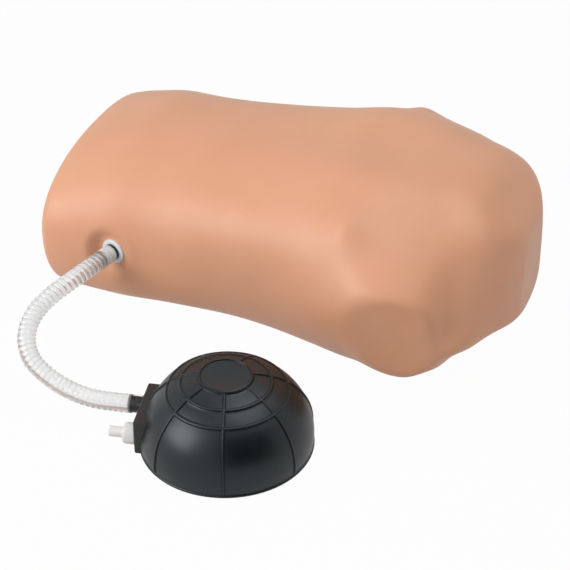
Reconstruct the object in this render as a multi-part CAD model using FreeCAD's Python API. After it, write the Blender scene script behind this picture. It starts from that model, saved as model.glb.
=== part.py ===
import FreeCAD, Part

# Pneumothorax training manikin: a soft torso lying on its back, with four air bladders
# under its skin, joined by a clear hose to a domed foot pump that stands beside it.
# Millimetres. +X runs from the waist towards the neck, +Y is the manikin's right side,
# +Z is up. The origin is on the flat of the back, halfway along the torso.

import math
import os

os.makedirs("parts", exist_ok=True)
Vector = FreeCAD.Vector
UP = Vector(0, 0, 1)

# Clearances
FIT_GAP = 0.3
RUNNING_GAP = 0.15

# Torso outline: (distance from the waist, size there)
HALF_WIDTHS = [(0, 158), (40, 162), (90, 161), (150, 156), (210, 156), (280, 161), (345, 170), (400, 182),
               (440, 185), (475, 183), (500, 175), (520, 175), (540, 162), (560, 110), (580, 52)]
TOP_HEIGHTS = [(0, 192), (40, 207), (100, 221), (170, 222), (240, 227), (310, 236), (370, 246), (430, 243),
               (475, 236), (510, 229), (545, 223), (580, 202)]
BACK_HEIGHTS = [(0, -6), (60, -6), (250, -10), (400, -25), (470, -20), (505, 4), (530, 40), (555, 48), (580, 48)]
MIDDLE_HEIGHTS = [(0, 110), (100, 98), (250, 122), (400, 126), (470, 114), (520, 100), (550, 105), (580, 84)]
TORSO_LENGTH = HALF_WIDTHS[-1][0]
WAIST_X = -TORSO_LENGTH / 2
FRONT_ROUNDNESS = 2.3
BACK_ROUNDNESS = 2.3
NECK_ROUNDER = 0.2
RIM_ROUND = 12
SKIN_WALL = 5
STATION_SPACING = 12
RING_POLES = 72

# Chest muscles, breastbone, armpits and collarbones
PEC_FROM_WAIST = 408
PEC_SIDE = 93
PEC_LENGTH = 54
PEC_REACH = 32
PEC_RISE = 2
STERNUM_FROM_WAIST = 380
STERNUM_REACH = 64
STERNUM_DEPTH = 10
ARMPIT_FROM_WAIST = 400
ARMPIT_SIDE = 158
ARMPIT_REACH = 25
ARMPIT_RISE = 22
COLLAR_FROM_WAIST = 512
COLLAR_SIDE = 88
COLLAR_LENGTH = 21
COLLAR_REACH = 43
COLLAR_RISE = 2.3

# Arm stubs: (direction) and (a point) of each plane that trims the form, and how soft its edge is
STUB_FROM_WAIST = 464
STUB_HEIGHT = 108
STUB_TILT = 0.08
STUB_REACH = 92
STUB_WAIST_FALL = 64
STUB_WAIST_POWER = 2.2
STUB_NECK_FALL = 42
STUB_NECK_POWER = 3.5
STUB_HALF_HEIGHT = 62
STUB_TOP_POWER = 2
FOLD_FROM_WAIST = 360
FOLD_LENGTH = 45
FOLD_HEIGHT = 96
FOLD_HALF_HEIGHT = 56
FOLD_REACH = 13
STUB_FACE = (0.2, 1, -0.18)
STUB_FACE_THROUGH = (460, 189, 104)
STUB_EDGE = 3.5
STUB_WAIST_EDGE = 20
FACE_BLEND_START = 401
FACE_BLEND_END = 471
SHOULDER_TOP = (0.3, 0.59, 0.81)
SHOULDER_TOP_THROUGH = (450, 190, 173)
SHOULDER_TOP_EDGE = 12
NECK_SLOPE = (0.68, 0, 0.73)
NECK_SLOPE_THROUGH = (549, 0, 205)
NECK_SLOPE_EDGE = 5
SHOULDER_SLOPE = (0.54, 0.76, 0.37)
SHOULDER_SLOPE_THROUGH = (540, 140, 130)
SHOULDER_SLOPE_EDGE = 9
POCKET_PLACE = (526, 168, 100)
POCKET_DIRECTION = (0.82, 0.5, 0.28)
POCKET_REACH = 19
POCKET_DEPTH = 5.5

# Access panel in the back
PANEL_LENGTH = 250
PANEL_WIDTH = 110
PANEL_THICKNESS = 3
PANEL_CORNER = 14
PANEL_LEDGE = 16
LEDGE_HEIGHT = 14
SCREW_SHANK = 4
SCREW_HEAD = 8
SCREW_HEAD_HEIGHT = 2.2
SCREW_LENGTH = 10
SCREW_COUNT_X = 3

# Cavity in the foam for the air lines
CAVITY_LENGTH = 390
CAVITY_WIDTH = 176
CAVITY_TOP = 112
CAVITY_X = -30
CAVITY_CORNER = 20

# Bladders: round pads just under the skin
BLADDER_RADIUS = 30
BLADDER_THICKNESS = 14
BLADDER_EDGE = 5
BLADDER_DEPTH = 16
FRONT_BLADDER_X = 146
FRONT_BLADDER_Y = 78
SIDE_BLADDER_X = 48
SIDE_BLADDER_Z = 104

# Air lines and manifold
LINE_OUTER = 8
LINE_BORE = 5
STEM_OUTER = 4.9
STEM_LENGTH = 9
MANIFOLD_LENGTH = 70
MANIFOLD_WIDTH = 26
MANIFOLD_HEIGHT = 20
MANIFOLD_X = 20
INLET_STRAIGHT = 108
OUTLET_PITCH = 30

# Port in the left flank
PORT_X = -191
PORT_Z = 109
PORT_YAW = 14
SEAT_Y = -152.5
SEAT_FLAT = 17
SEAT_BLEND = 36
PORT_WALL = 10
FLANGE_RADIUS = 15.5
FLANGE_THICKNESS = 3
PORT_BODY_RADIUS = 9
PORT_BORE = 9
COLLAR_RADIUS = 10.5
COLLAR_LENGTH = 4
SPIGOT_RADIUS = 8.3
SPIGOT_LENGTH = 16
SPIGOT_RIDGES = 4
RIDGE_RISE = 0.15
NUT_ACROSS_FLATS = 30
NUT_THICKNESS = 6
GASKET_THICKNESS = 2
PORT_PAD_RADIUS = 21

# Hose
HOSE_OUTER = 22
HOSE_BORE = 17

# Pump
PUMP_X = 24.5
PUMP_Y = -316.5
BASE_RADIUS = 97
BASE_THICKNESS = 4
BASE_UPSTAND = 5
DOME_BULGE = 2.5
DOME_RADIUS = BASE_RADIUS + DOME_BULGE
DOME_TOP = 95
BULGE_HEIGHT = 14
DOME_WALL = 4
FOOT_WIDTH = 21
FOOT_INNER = BASE_RADIUS - FOOT_WIDTH
FOOT_THICKNESS = 3
CROWN_RADIUS = 30
CROWN_DISH = 2.5
RING_RADII = (30, 51.5, 70)
RIB_COUNT = 7
RIB_WIDTH = 2.6
RIB_RISE = 1.2
RIB_TURN = -69.5
CLAMP_WIDTH = 9
CLAMP_INNER = FOOT_INNER + 3
CLAMP_OUTER = CLAMP_INNER + CLAMP_WIDTH
CLAMP_THICKNESS = 4
CLAMP_SCREWS = 8
BASE_SCREW_HEAD = 7
BASE_SCREW_SHANK = 3.4
SPRING_RADIUS = 20
SPRING_WIRE = 3.2
SPRING_TURNS = 5
SPRING_SIDES = 10
PLATE_RADIUS = 26
PLATE_THICKNESS = 3
PLATE_RIM = 5

# Valve block on the pump's side
BLOCK_TURN = 191
BLOCK_STAND_OUT = 2.2
BLOCK_FACE = BASE_RADIUS + BLOCK_STAND_OUT
BLOCK_DEPTH = 34
BLOCK_WIDTH = 74
BLOCK_OFFSET = 2
BLOCK_HEIGHT = 44
BLOCK_LIFT = 0.5
BLOCK_SCREW_DEPTH = 28.2
BLOCK_SCREW_RADIUS = BLOCK_FACE - BLOCK_SCREW_DEPTH
BLOCK_SCREW_SPREAD = 46
BLOCK_EDGE = 2.5
OUTLET_SIDE = -14
OUTLET_HEIGHT = 28
INTAKE_SIDE = 25
INTAKE_HEIGHT = 17
VALVE_BORE = 20
VALVE_POCKET = 20
THROAT_BORE = 9
FLAP_RADIUS = 7.5
FLAP_THICKNESS = 1.5
FLAP_LIFT = 2
CAGE_WALL = 1.6
FLAP_SEAT_GAP = 0.05
CAGE_LENGTH = FLAP_SEAT_GAP + FLAP_THICKNESS + FLAP_LIFT + 0.2 + CAGE_WALL
NOZZLE_COLLAR_RADIUS = 12.4
NOZZLE_COLLAR_LENGTH = 15
NOZZLE_TUBE_RADIUS = 6.1
NOZZLE_TUBE_LENGTH = 16
NOZZLE_BORE = 8


def along(table, place):
    """A smooth value between the pairs of a table, with no overshoot."""
    spans = [b[0] - a[0] for a, b in zip(table, table[1:])]
    slopes = [(b[1] - a[1]) / span for a, b, span in zip(table, table[1:], spans)]
    tangents = [slopes[0]]
    for before, after in zip(slopes, slopes[1:]):
        tangents.append(2 * before * after / (before + after) if before * after > 0 else 0)
    tangents.append(slopes[-1])
    place = min(max(place, table[0][0]), table[-1][0])
    i = max(j for j in range(len(spans)) if table[j][0] <= place)
    t = (place - table[i][0]) / spans[i]
    return (table[i][1] * (1 + 2 * t) * (1 - t) ** 2 + tangents[i] * spans[i] * t * (1 - t) ** 2
            + table[i + 1][1] * t * t * (3 - 2 * t) + tangents[i + 1] * spans[i] * t * t * (t - 1))


def hump(distance, reach, power=2):
    """A bell that is 1 at its middle and fades beyond its reach."""
    return math.exp(-abs(distance / reach) ** power)


def ease(start, end, value):
    """A smooth step from 0 at the start to 1 at the end."""
    t = min(1, max(0, (value - start) / (end - start)))
    return t * t * (3 - 2 * t)


def signed_power(value, power):
    return math.copysign(abs(value) ** power, value)


def front_relief(distance, side):
    """How far the chest's muscles and bones lift or sink the front there."""
    muscle = PEC_RISE * hump(distance - PEC_FROM_WAIST, PEC_LENGTH) * hump(side - PEC_SIDE, PEC_REACH)
    groove = STERNUM_DEPTH * hump(distance - STERNUM_FROM_WAIST, 90) * hump(side, STERNUM_REACH)
    armpit = ARMPIT_RISE * hump(distance - ARMPIT_FROM_WAIST, ARMPIT_REACH) * hump(side - ARMPIT_SIDE, ARMPIT_REACH)
    collar = COLLAR_RISE * hump(distance - COLLAR_FROM_WAIST, COLLAR_LENGTH) * hump(side - COLLAR_SIDE, COLLAR_REACH, 4)
    return muscle - groove + armpit + collar


def softly_cut(point, normal, through, softness, inset):
    """Pushes a point that lies beyond a plane back onto it; near the plane the edge is rounded."""
    normal = Vector(*normal)
    normal = normal / normal.Length
    beyond = ((point - Vector(*through)).dot(normal) + inset) / softness
    push = beyond if beyond > 30 else math.log(1 + math.exp(beyond))
    return point - normal * (softness * push)


def arm_stub(x, z, inset):
    """How far the arm stub stands out of the flank there."""
    if x < STUB_FROM_WAIST:
        fall, power = STUB_WAIST_FALL, STUB_WAIST_POWER
    else:
        fall, power = STUB_NECK_FALL, STUB_NECK_POWER
    rise = STUB_HEIGHT + STUB_TILT * (x - STUB_FROM_WAIST)
    stump = STUB_REACH * hump(x - STUB_FROM_WAIST, fall - inset, power) * hump(z - rise, STUB_HALF_HEIGHT - inset, STUB_TOP_POWER)
    armpit_fold = FOLD_REACH * hump(x - FOLD_FROM_WAIST, FOLD_LENGTH) * hump(z - FOLD_HEIGHT, FOLD_HALF_HEIGHT)
    return stump + armpit_fold


def torso_point(distance, angle, inset=0):
    """One point of the torso's surface, at a distance from the waist and an angle round it."""
    across, rise = math.cos(angle), math.sin(angle)
    half = along(HALF_WIDTHS, distance) - inset
    middle = along(MIDDLE_HEIGHTS, distance)
    roundness = (FRONT_ROUNDNESS if rise > 0 else BACK_ROUNDNESS) + NECK_ROUNDER * ease(480, 560, distance)
    y = half * abs(across) ** (2 / roundness)
    reach = along(TOP_HEIGHTS, distance) - middle if rise > 0 else middle - along(BACK_HEIGHTS, distance)
    z = middle + (reach - inset) * signed_power(rise, 2 / roundness)
    z += front_relief(distance, y) * max(0, rise) ** 0.5
    point = softly_cut(Vector(distance, y, z), NECK_SLOPE, NECK_SLOPE_THROUGH, NECK_SLOPE_EDGE, inset)
    point = softly_cut(point, SHOULDER_SLOPE, SHOULDER_SLOPE_THROUGH, SHOULDER_SLOPE_EDGE, inset)
    point.y += arm_stub(point.x, point.z, inset) * ease(0.3, 0.95, abs(across))
    point = softly_cut(point, SHOULDER_TOP, SHOULDER_TOP_THROUGH, SHOULDER_TOP_EDGE, inset)
    face_edge = STUB_EDGE + STUB_WAIST_EDGE * (1 - ease(FACE_BLEND_START, FACE_BLEND_END, point.x))
    point = softly_cut(point, STUB_FACE, STUB_FACE_THROUGH, face_edge, inset)
    pocket = POCKET_DEPTH * hump((point - Vector(*POCKET_PLACE)).Length, POCKET_REACH)
    point -= Vector(*POCKET_DIRECTION) * pocket
    x, y, z = WAIST_X + point.x, math.copysign(point.y, across), point.z
    if y < 0:
        seat_y = SEAT_Y - math.tan(math.radians(PORT_YAW)) * (x - PORT_X) + inset
        blend = ease(SEAT_FLAT, SEAT_BLEND, math.hypot(x - PORT_X, z - PORT_Z))
        y = seat_y + (y - seat_y) * blend
    return Vector(x, y, z)


def torso_form(inset, start, end):
    """The torso as a solid, drawn in by an inset, with rounded rims and a flat back."""
    count = int((end - start) / STATION_SPACING)
    rims = [0, 0, RIM_ROUND * 0.2, RIM_ROUND * 0.6]
    stations = [start + rim for rim in rims]
    stations += [start + RIM_ROUND + (end - start - 2 * RIM_ROUND) * i / count for i in range(count + 1)]
    stations += [end - rim for rim in reversed(rims)]
    insets = [RIM_ROUND, RIM_ROUND * 0.55, RIM_ROUND * 0.2, RIM_ROUND * 0.05]
    insets = insets + [0] * (count + 1) + insets[::-1]
    rows = []
    for station, extra in zip(stations, insets):
        angles = [2 * math.pi * i / RING_POLES - math.pi / 2 for i in range(RING_POLES)]
        rows.append([torso_point(station, angle, inset + extra) for angle in angles])
    for row, place in ((rows[0], start), (rows[-1], end)):
        for point in row:
            point.x = WAIST_X + place
    surface = Part.BSplineSurface()
    length_knots = len(rows) - 2
    surface.buildFromPolesMultsKnots(
        rows, [4] + [1] * (length_knots - 2) + [4], [1] * (RING_POLES + 1),
        list(range(length_knots)), list(range(RING_POLES + 1)), False, True, 3, 3)
    side = surface.toShape()
    ends = [Part.Face(Part.Wire([edge])) for edge in side.Edges if edge.isClosed() and edge.BoundBox.XLength < 1e-3]
    form = Part.makeShell([side] + ends)
    form.sewShape()
    form = Part.makeSolid(form)
    if form.Volume < 0:
        form.reverse()
    floor = Part.makeBox(900, 900, 400, Vector(-450, -450, inset - 400))
    return form.cut(floor)


def placed(shape, origin, direction):
    """A shape drawn along +Z, moved to an origin and turned to a direction."""
    copy = shape.copy()
    copy.Placement = FreeCAD.Placement(origin, FreeCAD.Rotation(UP, direction)).multiply(copy.Placement)
    return copy


def cylinder(radius, length, start=0):
    return Part.makeCylinder(radius, length, Vector(0, 0, start))


def ring(outer, inner, length, start=0):
    return cylinder(outer, length, start).cut(cylinder(inner, length + 2, start - 1))


def rounded_slab(length, width, height, corner, bottom):
    """A slab with rounded upright corners, centred in X and Y."""
    slab = Part.makeBox(length, width, height, Vector(-length / 2, -width / 2, bottom))
    upright = [edge for edge in slab.Edges if edge.BoundBox.ZLength > height - 0.01]
    return slab.makeFillet(corner, upright)


def revolved(points):
    """A solid of revolution round Z from (radius, height) points."""
    outline = Part.makePolygon([Vector(radius, 0, height) for radius, height in points + points[:1]])
    return Part.Face(outline).revolve(Vector(0, 0, 0), UP, 360)


def rounded_path(points):
    """Straight runs joined by tangent arcs, each arc as large as its two runs allow."""
    edges, radii, start = [], [], points[0]
    for before, corner, after in zip(points, points[1:], points[2:]):
        back, ahead = before - corner, after - corner
        turn = math.pi - back.getAngle(ahead)
        trim = 0.45 * min(back.Length, ahead.Length)
        radii.append(trim / math.tan(turn / 2))
        back.normalize()
        ahead.normalize()
        arc_start, arc_end = corner + back * trim, corner + ahead * trim
        centre_line = back + ahead
        centre_line.normalize()
        centre = corner + centre_line * math.hypot(trim, radii[-1])
        middle = centre - centre_line * radii[-1]
        edges.append(Part.LineSegment(start, arc_start).toShape())
        edges.append(Part.Arc(arc_start, middle, arc_end).toShape())
        start = arc_end
    edges.append(Part.LineSegment(start, points[-1]).toShape())
    return Part.Wire(edges), radii


def tube_along(points, outer, bore):
    """A round tube that follows a path of runs and arcs."""
    path, radii = rounded_path(points)
    direction = points[1] - points[0]
    solids = []
    for size in (outer, bore):
        circle = Part.Wire([Part.makeCircle(size / 2, points[0], direction)])
        solids.append(path.makePipeShell([circle], True, False))
    tube = solids[0].cut(solids[1])
    section = math.pi * (outer ** 2 - bore ** 2) / 4
    print("tube", "length %.0f" % path.Length, "volume ratio %.4f" % (tube.Volume / (section * path.Length)),
          "radii", " ".join("%.0f" % radius for radius in radii))
    return tube


PORT_OUT = Vector(-math.sin(math.radians(PORT_YAW)), -math.cos(math.radians(PORT_YAW)), 0)


def surface_hit(form, origin, direction):
    """Where a line from outside first meets a form."""
    line = Part.makeLine(origin, origin + direction * 600)
    inside = form.common(line)
    return min((vertex.Point for vertex in inside.Vertexes), key=lambda point: (point - origin).Length)


def bladder_frames():
    """Each bladder's name, the point on the skin above it and its outward direction."""
    frames = []
    for side, word in ((1, "right"), (-1, "left")):
        lean = math.radians(14) * side
        frames.append(("front_bladder_" + word, Vector(FRONT_BLADDER_X, side * FRONT_BLADDER_Y, 400),
                       Vector(0, math.sin(lean), math.cos(lean))))
        frames.append(("side_bladder_" + word, Vector(SIDE_BLADDER_X, side * 400, SIDE_BLADDER_Z),
                       Vector(0, side, 0)))
    return frames


def bladder_shape(grow=0):
    """A flat round pad with a short neck below it, drawn with its outer face at zero height."""
    pad = cylinder(BLADDER_RADIUS + grow, BLADDER_THICKNESS + 2 * grow, -BLADDER_THICKNESS - grow)
    pad = pad.makeFillet(BLADDER_EDGE, [edge for edge in pad.Edges if edge.isClosed()])
    return pad


def bladder_places(form):
    """For each bladder: its name, the middle of its outer face and its outward direction."""
    places = []
    for name, above, outward in bladder_frames():
        if outward.z > 0.5:
            start = Vector(above.x, above.y, 210) + outward * 150
        else:
            start = Vector(above.x, above.y, above.z)
        hit = surface_hit(form, start, -outward)
        places.append((name, hit - outward * BLADDER_DEPTH, outward))
    return places


def spigot_profile(root, outer, length, ridges, rise):
    """Points of a ridged hose tail, from its root outwards."""
    pitch = length / ridges
    points = []
    for i in range(ridges):
        base = root + i * pitch
        points += [(outer - rise, base), (outer, base + pitch * 0.35), (outer - rise * 2, base + pitch * 0.95)]
    return points


print("torso")
torso_outer = torso_form(0, 0, TORSO_LENGTH)
torso_inner = torso_form(SKIN_WALL, SKIN_WALL, TORSO_LENGTH - SKIN_WALL)
torso_core = torso_form(SKIN_WALL + FIT_GAP, SKIN_WALL + FIT_GAP, TORSO_LENGTH - SKIN_WALL - FIT_GAP)

seat = Vector(PORT_X, SEAT_Y, PORT_Z)
port_axis_hole = placed(cylinder(PORT_BODY_RADIUS + FIT_GAP, 80, -60), seat, PORT_OUT)
port_spot = placed(cylinder(FLANGE_RADIUS + FIT_GAP, 40), seat, PORT_OUT)
port_pad = placed(cylinder(PORT_PAD_RADIUS, PORT_WALL, -PORT_WALL), seat, PORT_OUT)
port_room = placed(cylinder(PORT_PAD_RADIUS, 40, -PORT_WALL - 40), seat, PORT_OUT)
port_clear = placed(cylinder(PORT_PAD_RADIUS + FIT_GAP, 48, -40).fuse(
    cylinder(LINE_OUTER / 2 + FIT_GAP, INLET_STRAIGHT, -INLET_STRAIGHT)), seat, PORT_OUT)


def access_opening():
    """What is taken out of the back for the panel: a recess, and a hole inside its ledge."""
    recess = rounded_slab(PANEL_LENGTH + 2 * FIT_GAP, PANEL_WIDTH + 2 * FIT_GAP,
                          PANEL_THICKNESS + 1, PANEL_CORNER, -1)
    hole = rounded_slab(PANEL_LENGTH - 2 * PANEL_LEDGE, PANEL_WIDTH - 2 * PANEL_LEDGE,
                        LEDGE_HEIGHT + 20, PANEL_CORNER, -1)
    return recess.fuse(hole)


def panel_screw_places():
    spread_x = PANEL_LENGTH / 2 - PANEL_LEDGE / 2
    spread_y = PANEL_WIDTH / 2 - PANEL_LEDGE / 2
    columns = [spread_x * (2 * i / (SCREW_COUNT_X - 1) - 1) for i in range(SCREW_COUNT_X)]
    return [Vector(x, y, 0) for x in columns for y in (-spread_y, spread_y)]


def panel_screw(grow=0):
    """A countersunk screw pointing up, its head flush with the panel's outer face."""
    head = Part.makeCone(SCREW_HEAD / 2 + grow, SCREW_SHANK / 2 + grow, SCREW_HEAD_HEIGHT)
    shank = cylinder(SCREW_SHANK / 2 + grow, SCREW_LENGTH - SCREW_HEAD_HEIGHT + grow, SCREW_HEAD_HEIGHT)
    return head.fuse(shank)


def torso_skin():
    """The soft outer skin, with a ledge round the back opening and a pad behind the port."""
    skin = torso_outer.cut(torso_inner)
    ledge = rounded_slab(PANEL_LENGTH + 2 * PANEL_LEDGE, PANEL_WIDTH + 2 * PANEL_LEDGE,
                         LEDGE_HEIGHT - SKIN_WALL / 2, PANEL_CORNER, SKIN_WALL / 2)
    skin = skin.fuse(ledge).cut(port_room).fuse(port_pad.common(torso_outer))
    skin = skin.cut(access_opening()).cut(port_axis_hole).cut(port_spot)
    for place in panel_screw_places():
        hole = cylinder(SCREW_SHANK / 2, SCREW_LENGTH + 1).translated(place)
        skin = skin.cut(hole)
    return skin


def cavity():
    room = rounded_slab(CAVITY_LENGTH, CAVITY_WIDTH, CAVITY_TOP + 10, CAVITY_CORNER, -10)
    return room.translated(Vector(CAVITY_X, 0, 0))


def foam_core(places):
    """The foam that fills the skin, with a cavity for the air lines and a pocket for each bladder."""
    ledge_room = rounded_slab(PANEL_LENGTH + 2 * PANEL_LEDGE + 2 * FIT_GAP, PANEL_WIDTH + 2 * PANEL_LEDGE + 2 * FIT_GAP,
                              LEDGE_HEIGHT + FIT_GAP + 1, PANEL_CORNER, -1)
    foam = torso_core.cut(cavity()).cut(ledge_room).cut(port_clear)
    for name, middle, outward in places:
        pocket = cylinder(BLADDER_RADIUS + FIT_GAP, BLADDER_THICKNESS + 2 * BLADDER_DEPTH,
                          -BLADDER_THICKNESS - FIT_GAP)
        bore = cylinder(LINE_OUTER / 2 + FIT_GAP, 120, -BLADDER_THICKNESS - 120)
        foam = foam.cut(placed(pocket, middle, outward)).cut(placed(bore, middle, outward))
    return foam


def back_panel():
    panel = rounded_slab(PANEL_LENGTH, PANEL_WIDTH, PANEL_THICKNESS, PANEL_CORNER - FIT_GAP, 0)
    for place in panel_screw_places():
        panel = panel.cut(panel_screw(RUNNING_GAP).translated(place))
    return panel


def panel_screws():
    screws = [panel_screw().translated(place) for place in panel_screw_places()]
    return Part.makeCompound(screws)


bladders = bladder_places(torso_outer)
MANIFOLD_Z = PANEL_THICKNESS


def bladder(middle, outward):
    """A sealed pad with a hollow stem that the air line slips onto."""
    pad = bladder_shape()
    stem = cylinder(STEM_OUTER / 2, STEM_LENGTH, -BLADDER_THICKNESS - STEM_LENGTH)
    hollow = cylinder(STEM_OUTER / 2 - 1, STEM_LENGTH + 3, -BLADDER_THICKNESS - STEM_LENGTH - 1)
    return placed(pad.fuse(stem).cut(hollow), middle, outward)


def manifold_stems():
    """The root and direction of each hollow stem on the manifold: four outlets and one inlet."""
    mid_z = MANIFOLD_Z + MANIFOLD_HEIGHT / 2
    stems = []
    for side in (1, -1):
        for step in (0.5, -0.5):
            root = Vector(MANIFOLD_X + OUTLET_PITCH * step, side * MANIFOLD_WIDTH / 2, mid_z)
            stems.append((root, Vector(0, side, 0)))
    stems.append((Vector(MANIFOLD_X - MANIFOLD_LENGTH / 2, 0, mid_z), Vector(-1, 0, 0)))
    return stems


def air_manifold():
    """A moulded block that shares the air between the bladders, standing on the panel."""
    block = Part.makeBox(MANIFOLD_LENGTH, MANIFOLD_WIDTH, MANIFOLD_HEIGHT,
                         Vector(MANIFOLD_X - MANIFOLD_LENGTH / 2, -MANIFOLD_WIDTH / 2, MANIFOLD_Z))
    block = block.makeFillet(3, [edge for edge in block.Edges if edge.BoundBox.ZLength > MANIFOLD_HEIGHT - 1])
    for root, direction in manifold_stems():
        block = block.fuse(placed(cylinder(STEM_OUTER / 2, STEM_LENGTH + 1, -1), root, direction))
    for root, direction in manifold_stems():
        block = block.cut(placed(cylinder(STEM_OUTER / 2 - 1, STEM_LENGTH + 12, -10), root, direction))
    channel = placed(cylinder(STEM_OUTER / 2, MANIFOLD_LENGTH - 8),
                     Vector(MANIFOLD_X - MANIFOLD_LENGTH / 2 + 4, 0, MANIFOLD_Z + MANIFOLD_HEIGHT / 2),
                     Vector(1, 0, 0))
    return block.cut(channel)


def front_line(side):
    """From the manifold's forward outlet out to the side and up to a front bladder."""
    root, direction = manifold_stems()[0 if side > 0 else 2]
    name, middle, outward = bladders[0 if side > 0 else 2]
    end = middle - outward * BLADDER_THICKNESS
    points = [root, root + direction * 15, root + Vector(22, side * 28, 32),
              end - outward * 134, end]
    return tube_along(points, LINE_OUTER, LINE_BORE)


def side_line(side):
    """From the manifold's rear outlet up and out to a side bladder."""
    root, direction = manifold_stems()[1 if side > 0 else 3]
    name, middle, outward = bladders[1 if side > 0 else 3]
    end = middle - outward * BLADDER_THICKNESS
    points = [root, root + direction * 18, root + Vector(14, side * 32, 34),
              end - outward * 82 - Vector(0, 0, 18), end - outward * 70, end]
    return tube_along(points, LINE_OUTER, LINE_BORE)


def inlet_line():
    """From the port's inner tail across the cavity to the manifold's inlet."""
    root, direction = manifold_stems()[4]
    tail = seat - PORT_OUT * PORT_INNER_END
    points = [tail, seat - PORT_OUT * INLET_STRAIGHT, Vector(-126, -26, 56),
              Vector(-76, 0, 22), root + direction * 22, root]
    return tube_along(points, LINE_OUTER, LINE_BORE)


PORT_INNER_END = PORT_WALL + GASKET_THICKNESS + NUT_THICKNESS + 2


def port_flange():
    disc = ring(FLANGE_RADIUS, PORT_BODY_RADIUS + RUNNING_GAP, FLANGE_THICKNESS)
    rim = [edge for edge in disc.Edges if edge.isClosed() and edge.BoundBox.DiagonalLength > 2.5 * FLANGE_RADIUS
           and edge.CenterOfMass.z > FLANGE_THICKNESS - 0.01]
    return placed(disc.makeFillet(1, rim), seat, PORT_OUT)


def port_spigot():
    """The black tube through the skin: hose tail and collar outside, air line stem inside."""
    collar = FLANGE_THICKNESS + COLLAR_LENGTH
    points = [(0, collar + SPIGOT_LENGTH), (0, -PORT_INNER_END - STEM_LENGTH),
              (STEM_OUTER / 2, -PORT_INNER_END - STEM_LENGTH), (STEM_OUTER / 2, -PORT_INNER_END),
              (PORT_BODY_RADIUS, -PORT_INNER_END), (PORT_BODY_RADIUS, FLANGE_THICKNESS),
              (COLLAR_RADIUS, FLANGE_THICKNESS), (COLLAR_RADIUS, collar)]
    points += spigot_profile(collar, SPIGOT_RADIUS, SPIGOT_LENGTH, SPIGOT_RIDGES, RIDGE_RISE)
    points += [(SPIGOT_RADIUS - 1, collar + SPIGOT_LENGTH)]
    body = revolved(points)
    body = body.cut(cylinder(PORT_BORE / 2, collar + SPIGOT_LENGTH + PORT_INNER_END - 1, -PORT_INNER_END + 2))
    body = body.cut(cylinder(STEM_OUTER / 2 - 1, STEM_LENGTH + 6, -PORT_INNER_END - STEM_LENGTH - 1))
    return placed(body, seat, PORT_OUT)


def port_gasket():
    washer = ring(NUT_ACROSS_FLATS / 2 + 2, PORT_BODY_RADIUS + RUNNING_GAP, GASKET_THICKNESS,
                  -PORT_WALL - GASKET_THICKNESS)
    return placed(washer, seat, PORT_OUT)


def port_nut():
    corner = NUT_ACROSS_FLATS / math.sqrt(3)
    corners = [Vector(corner * math.cos(math.radians(60 * i)), corner * math.sin(math.radians(60 * i)),
                      -PORT_WALL - GASKET_THICKNESS - NUT_THICKNESS) for i in range(7)]
    nut = Part.Face(Part.makePolygon(corners)).extrude(Vector(0, 0, NUT_THICKNESS))
    nut = nut.cut(cylinder(PORT_BODY_RADIUS + RUNNING_GAP, 60, -50))
    return placed(nut, seat, PORT_OUT)


# The pump is drawn round its own axis and then moved to its place on the floor.
PUMP_PLACE = Vector(PUMP_X, PUMP_Y, 0)
PLATE_TOP = DOME_TOP - DOME_WALL - CROWN_DISH


def dome_profile(offset):
    """Points of the dome's curve from its foot to its crown, drawn in by an offset."""
    radius, rise = DOME_RADIUS - offset, DOME_TOP - BULGE_HEIGHT - offset
    foot = BASE_THICKNESS
    points = [Vector(BASE_RADIUS - 0.5 - offset, 0, foot)]
    steps = 12
    for i in range(steps + 1):
        angle = math.pi / 2 * i / steps
        across = radius * math.cos(angle) ** (2 / 2.15)
        points.append(Vector(across, 0, BULGE_HEIGHT + rise * math.sin(angle) ** (2 / 2.15)))
    points[-1] = Vector(0, 0, DOME_TOP - offset)
    return points


def dome_solid(offset, bottom):
    """A solid dome under the curve, standing on a flat bottom."""
    points = dome_profile(offset)
    curve = Part.BSplineCurve()
    curve.interpolate(points)
    crown, foot = Vector(0, 0, bottom), Vector(points[0].x, 0, bottom)
    edges = [curve.toShape(), Part.makeLine(points[-1], crown), Part.makeLine(crown, foot)]
    if (points[0] - foot).Length > 1e-6:
        edges.append(Part.makeLine(foot, points[0]))
    face = Part.Face(Part.Wire(Part.__sortEdges__(edges)))
    return face.revolve(Vector(0, 0, 0), UP, 360)


def crown_dish():
    """A shallow bowl that hollows the crown inside its ring rib."""
    bowl_radius = (CROWN_RADIUS ** 2 + CROWN_DISH ** 2) / (2 * CROWN_DISH)
    return Part.makeSphere(bowl_radius, Vector(0, 0, DOME_TOP + bowl_radius - CROWN_DISH))


def dome_ribs():
    """Ring ribs, and straight ribs from the crown ring down to the foot."""
    bars = []
    for radius in RING_RADII:
        bars.append(ring(radius + RIB_WIDTH / 2, radius - RIB_WIDTH / 2, DOME_TOP))
    for i in range(RIB_COUNT):
        bar = Part.makeBox(DOME_RADIUS, RIB_WIDTH, DOME_TOP, Vector(CROWN_RADIUS, -RIB_WIDTH / 2, BASE_THICKNESS))
        bars.append(bar.rotated(Vector(0, 0, 0), UP, RIB_TURN + 360 / RIB_COUNT * i))
    ribs = bars[0].fuse(bars[1:])
    return ribs.common(dome_solid(-RIB_RISE, BASE_THICKNESS))


def block_turned(shape):
    """A shape drawn with its outward direction along +X, turned to the valve block's side."""
    return shape.rotated(Vector(0, 0, 0), UP, BLOCK_TURN)


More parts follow.
